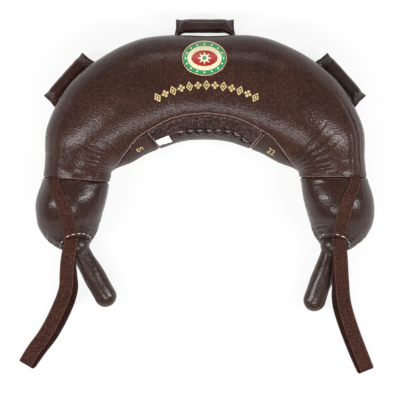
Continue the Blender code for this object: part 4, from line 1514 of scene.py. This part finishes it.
def grip_point(along, angle, seed):
    share = pinch_share(along)
    half_width = GRIP_RADIUS + (PINCH_HALF_WIDTH - GRIP_RADIUS) * share
    half_width += GRIP_SAG * (1 - share) * max(0.0, -cos(angle))
    flat = PINCH_HALF_THICKNESS * (0.75 + 0.65 * max(0.0, cos(angle)))
    half_thickness = GRIP_RADIUS + (flat - GRIP_RADIUS) * share
    reach = GRIP_REACH + (PINCH_HALF_WIDTH - PINCH_HALF_THICKNESS - GRIP_REACH) * share
    lumps = wobble(along / (16 * MM), cos(angle), seed)
    fan = abs(wobble(cos(angle) * 3, sin(angle) * 3, seed + along * 9))
    crease = 1.5 * MM * fan * fade((abs(along) - 20 * MM) / (16 * MM)) - 0.4 * MM * (lumps + 1)
    point = Vector((along, reach + (half_width - crease) * cos(angle),
                    max(0.3 * MM, half_thickness - crease * (1 - share)) * sin(angle)))
    point.y += EAR_RISE * ear_share(along) * max(0.0, cos(angle)) ** 3
    point.x += copysign(FOOT_FLARE * ear_share(along) * max(0.0, -cos(angle)), along)
    if share > 0 and point.y < 6 * MM:
        point.y -= SEAM_TUCK * share * (1 - point.y / (6 * MM)) / 1.4
    return point


# %% Top handles in place
GRIP_HIDES = (("left", "russet"), ("centre", "brown"), ("right", "dark"))
for index, (side, hide) in enumerate(GRIP_HIDES):
    joint = JOINTS[f"handle_{side}_lift"]
    pivot = Vector(joint["pos_m"])
    axis = Vector(joint["axis"])
    frame_turn = Matrix.Rotation(atan2(axis.y, axis.x), 4, "Z")
    place_of = Matrix.Translation(pivot) @ frame_turn @ Matrix.Rotation(-HANDLE_TILT, 4, "X")
    rows = even_places(-HANDLE_SPACING / 2, HANDLE_SPACING / 2, 1.5 * MM)
    builder = laid_grid(rows, 56, lambda row: (-pi + 0.01, pi - 0.01),
                        lambda row, value: (place_of @ grip_point(row, value, index * 7.0), 0.0))
    face_outwards(builder, lambda face: place_of @ Vector((0.0, GRIP_REACH, 0.0)))
    grip = finished(f"grip_leather_{side}", builder, [HIDES[f"grip_leather_{hide}"], RAW_EDGE],
                    None, (f"grip_leather_{side}",))
    thicken(grip, GRIP_WALL)
    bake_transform(grip)

# %% [markdown]
# ## Marks
# A round enamel badge, a stamped gold border and two plain numbers sit on the leather. They
# are drawn flat, as the camera sees them, and then dropped along the camera's own lines of
# sight onto the leather, so they follow every swell of it.

# %% Drop flat work onto the leather
EYE = camera.location.copy()


def photo_spot(across, down):
    """A pixel's place in the level plane that the camera is measured in."""
    return Vector(((across - BAG_CENTRE_PIXEL[0]) * PIXEL, (BAG_CENTRE_PIXEL[1] - down) * PIXEL,
                   VIEW_HEIGHT))


def surface_tree(*objects):
    graph = bpy.context.evaluated_depsgraph_get()
    joined = bmesh.new()
    for thing in objects:
        mesh = thing.evaluated_get(graph).to_mesh()
        joined.from_mesh(mesh)
        thing.evaluated_get(graph).to_mesh_clear()
    return BVHTree.FromBMesh(joined)


def drop_on(builder, tree, lift):
    """Moves flat work onto the leather; its own height is kept above it."""
    for vertex in builder.verts:
        raised = vertex.co.z - VIEW_HEIGHT
        target = Vector((vertex.co.x, vertex.co.y, VIEW_HEIGHT))
        spot, normal, _, _ = tree.ray_cast(EYE, (target - EYE).normalized())
        if spot is None:
            spot, normal, _, _ = tree.find_nearest(target)
        if normal.z < 0:
            normal = -normal
        vertex.co = spot + normal * (lift + raised)


def add_flat_shape(builder, spot, radii, turn, squeeze=1.0, material=0, height=0.0):
    """A filled star or round shape whose corner radii repeat."""
    made = bmesh.ops.create_circle(builder, cap_ends=True, segments=len(radii), radius=1.0)
    builder.normal_update()
    for index, vertex in enumerate(made["verts"]):
        way = Vector((vertex.co.x * squeeze, vertex.co.y, 0.0)) * radii[index]
        way.rotate(Matrix.Rotation(turn, 3, "Z"))
        vertex.co = spot + way + Vector((0.0, 0.0, height))
    faces = list({face for vertex in made["verts"] for face in vertex.link_faces})
    for face in faces:
        face.material_index = material
    return faces


panel_tree = surface_tree(front_panel)

# %% [markdown]
# The badge starts as one flat oval. Each inset makes the next ring: a gold rim, a dark line,
# green and cream bands and a red field, with a star in its middle.

# %% Enamel badge
BADGE_CENTRE_PIXEL = (204.5, 58.5)
BADGE_HALF_WIDTH = 40 * MM
BADGE_HALF_HEIGHT = 31 * MM
STAR_TIP = 11 * MM
STAR_NOTCH = 5.2 * MM
BADGE_DOTS = 16
DOTS_HALF_WIDTH = 33.5 * MM
DOTS_HALF_HEIGHT = 24.6 * MM
BADGE_RINGS = (  # width in mm, material, height in mm
    (0.9, 1, 0.5), (1.5, 0, 1.0), (0.8, 1, 0.5), (3.2, 2, 0.8), (3.2, 2, 0.8),
    (0.9, 0, 1.0), (3.0, 3, 0.8), (2.8, 3, 0.8), (0.9, 0, 1.0), (3.0, 4, 0.8),
    (2.5, 4, 0.8), (2.0, 4, 0.8),
)


def enamel_finish(name, tone, deep):
    made = Finish(name, 0.28)
    cloud = made.noise(made.spot, 1 / (5 * MM), 3.0)
    fleck = made.noise(made.spot, 1 / (0.8 * MM), 2.0)
    mixed = made.mix(made.spread(cloud, 0.35, 0.7), tone, deep)
    return made.shade(Base_Color=mixed, Normal=made.bump(fleck, 0.04 * MM))


ENAMELS = [
    GOLD,
    enamel_finish("badge_dark_line", (34, 26, 22), (24, 18, 15)),
    enamel_finish("badge_green", (42, 156, 104), (30, 132, 86)),
    enamel_finish("badge_cream", (244, 234, 206), (228, 214, 178)),
    enamel_finish("badge_red", (178, 40, 30), (150, 28, 22)),
]
badge_spot = photo_spot(*BADGE_CENTRE_PIXEL)
builder = bmesh.new()
oval = bmesh.ops.create_circle(builder, cap_ends=True, segments=96, radius=1.0)
for vertex in oval["verts"]:
    vertex.co = badge_spot + Vector((vertex.co.x * BADGE_HALF_WIDTH,
                                     vertex.co.y * BADGE_HALF_HEIGHT, 0.0))
field = list(builder.faces)
for width, material, height in BADGE_RINGS:
    for face in field:
        face.material_index = material
        for vertex in face.verts:
            vertex.co.z = VIEW_HEIGHT + height * MM
    bmesh.ops.inset_region(builder, faces=field, thickness=width * MM, use_boundary=True,
                           use_even_offset=True)
bmesh.ops.poke(builder, faces=field)
star = [STAR_TIP if index % 2 == 0 else STAR_NOTCH for index in range(16)]
add_flat_shape(builder, badge_spot, star, 0.0, 1.15, 3, 1.5 * MM)
add_flat_shape(builder, badge_spot, [3.4 * MM] * 20, 0.0, 1.0, 2, 1.9 * MM)
for index in range(BADGE_DOTS):
    turn = tau * index / BADGE_DOTS
    spot = badge_spot + Vector((cos(turn) * DOTS_HALF_WIDTH, sin(turn) * DOTS_HALF_HEIGHT, 0.0))
    add_flat_shape(builder, spot, [1.5 * MM] * 10, 0.0, 1.0, 3, 1.2 * MM)
drop_on(builder, panel_tree, 0.2 * MM)
thicken(finished("badge", builder, ENAMELS, "bag", smooth=False), 0.5 * MM)

# %% [markdown]
# The border is a row of lozenges and clover leaves on an arc.

# %% Stamped border
BORDER_CENTRE_PIXEL = (206.5, 187.5)
BORDER_RADIUS = 102.5 * PIXEL
BORDER_HALF_TURN = radians(28.5)
BORDER_COUNT = 13
LOZENGE_HALF = 8.8 * MM
LOZENGE_LINE = 1.9 * MM
builder = bmesh.new()
for index in range(BORDER_COUNT):
    turn = BORDER_HALF_TURN * (1 - 2 * index / (BORDER_COUNT - 1))
    way = Vector((-sin(turn), cos(turn), 0.0))
    middle = photo_spot(*BORDER_CENTRE_PIXEL) + way * BORDER_RADIUS
    if index % 2 == 0:
        faces = add_flat_shape(builder, middle, [LOZENGE_HALF] * 4, turn, 0.72)
        bmesh.ops.inset_region(builder, faces=faces, thickness=LOZENGE_LINE, use_boundary=True,
                               use_even_offset=True)
        bmesh.ops.delete(builder, geom=faces, context="FACES")
        add_flat_shape(builder, middle, [2.2 * MM] * 8, turn)
    else:
        for leaf in range(4):
            side_way = way.copy()
            side_way.rotate(Matrix.Rotation(pi / 2 * leaf, 3, "Z"))
            add_flat_shape(builder, middle + side_way * 4.0 * MM, [2.5 * MM] * 10, turn)
        add_flat_shape(builder, middle, [1.0 * MM] * 8, turn)
drop_on(builder, panel_tree, 0.25 * MM)
thicken(finished("stamped_border", builder, [GOLD], "bag", smooth=False), 0.3 * MM)

# %% Weight numbers
number_tree = surface_tree(front_panel, bpy.data.objects["gusset_left"],
                           bpy.data.objects["gusset_right"])
NUMBERS = (("50", (140.2, 150.6), 27, "left"), ("22", (271.0, 151.8), -30, "right"))
for text, pixel, turn, side in NUMBERS:
    data = bpy.data.curves.new("number", "FONT")
    data.body = text
    data.size = 13.5 * MM
    data.align_x, data.align_y = "CENTER", "CENTER"
    builder = from_curve(data)
    bmesh.ops.transform(builder, verts=builder.verts,
                        matrix=Matrix.Translation(photo_spot(*pixel))
                        @ Matrix.Rotation(radians(turn), 4, "Z"))
    drop_on(builder, number_tree, 0.2 * MM)
    thicken(finished(f"weight_number_{side}", builder, [GOLD], "bag",
                     smooth=False), 0.2 * MM)
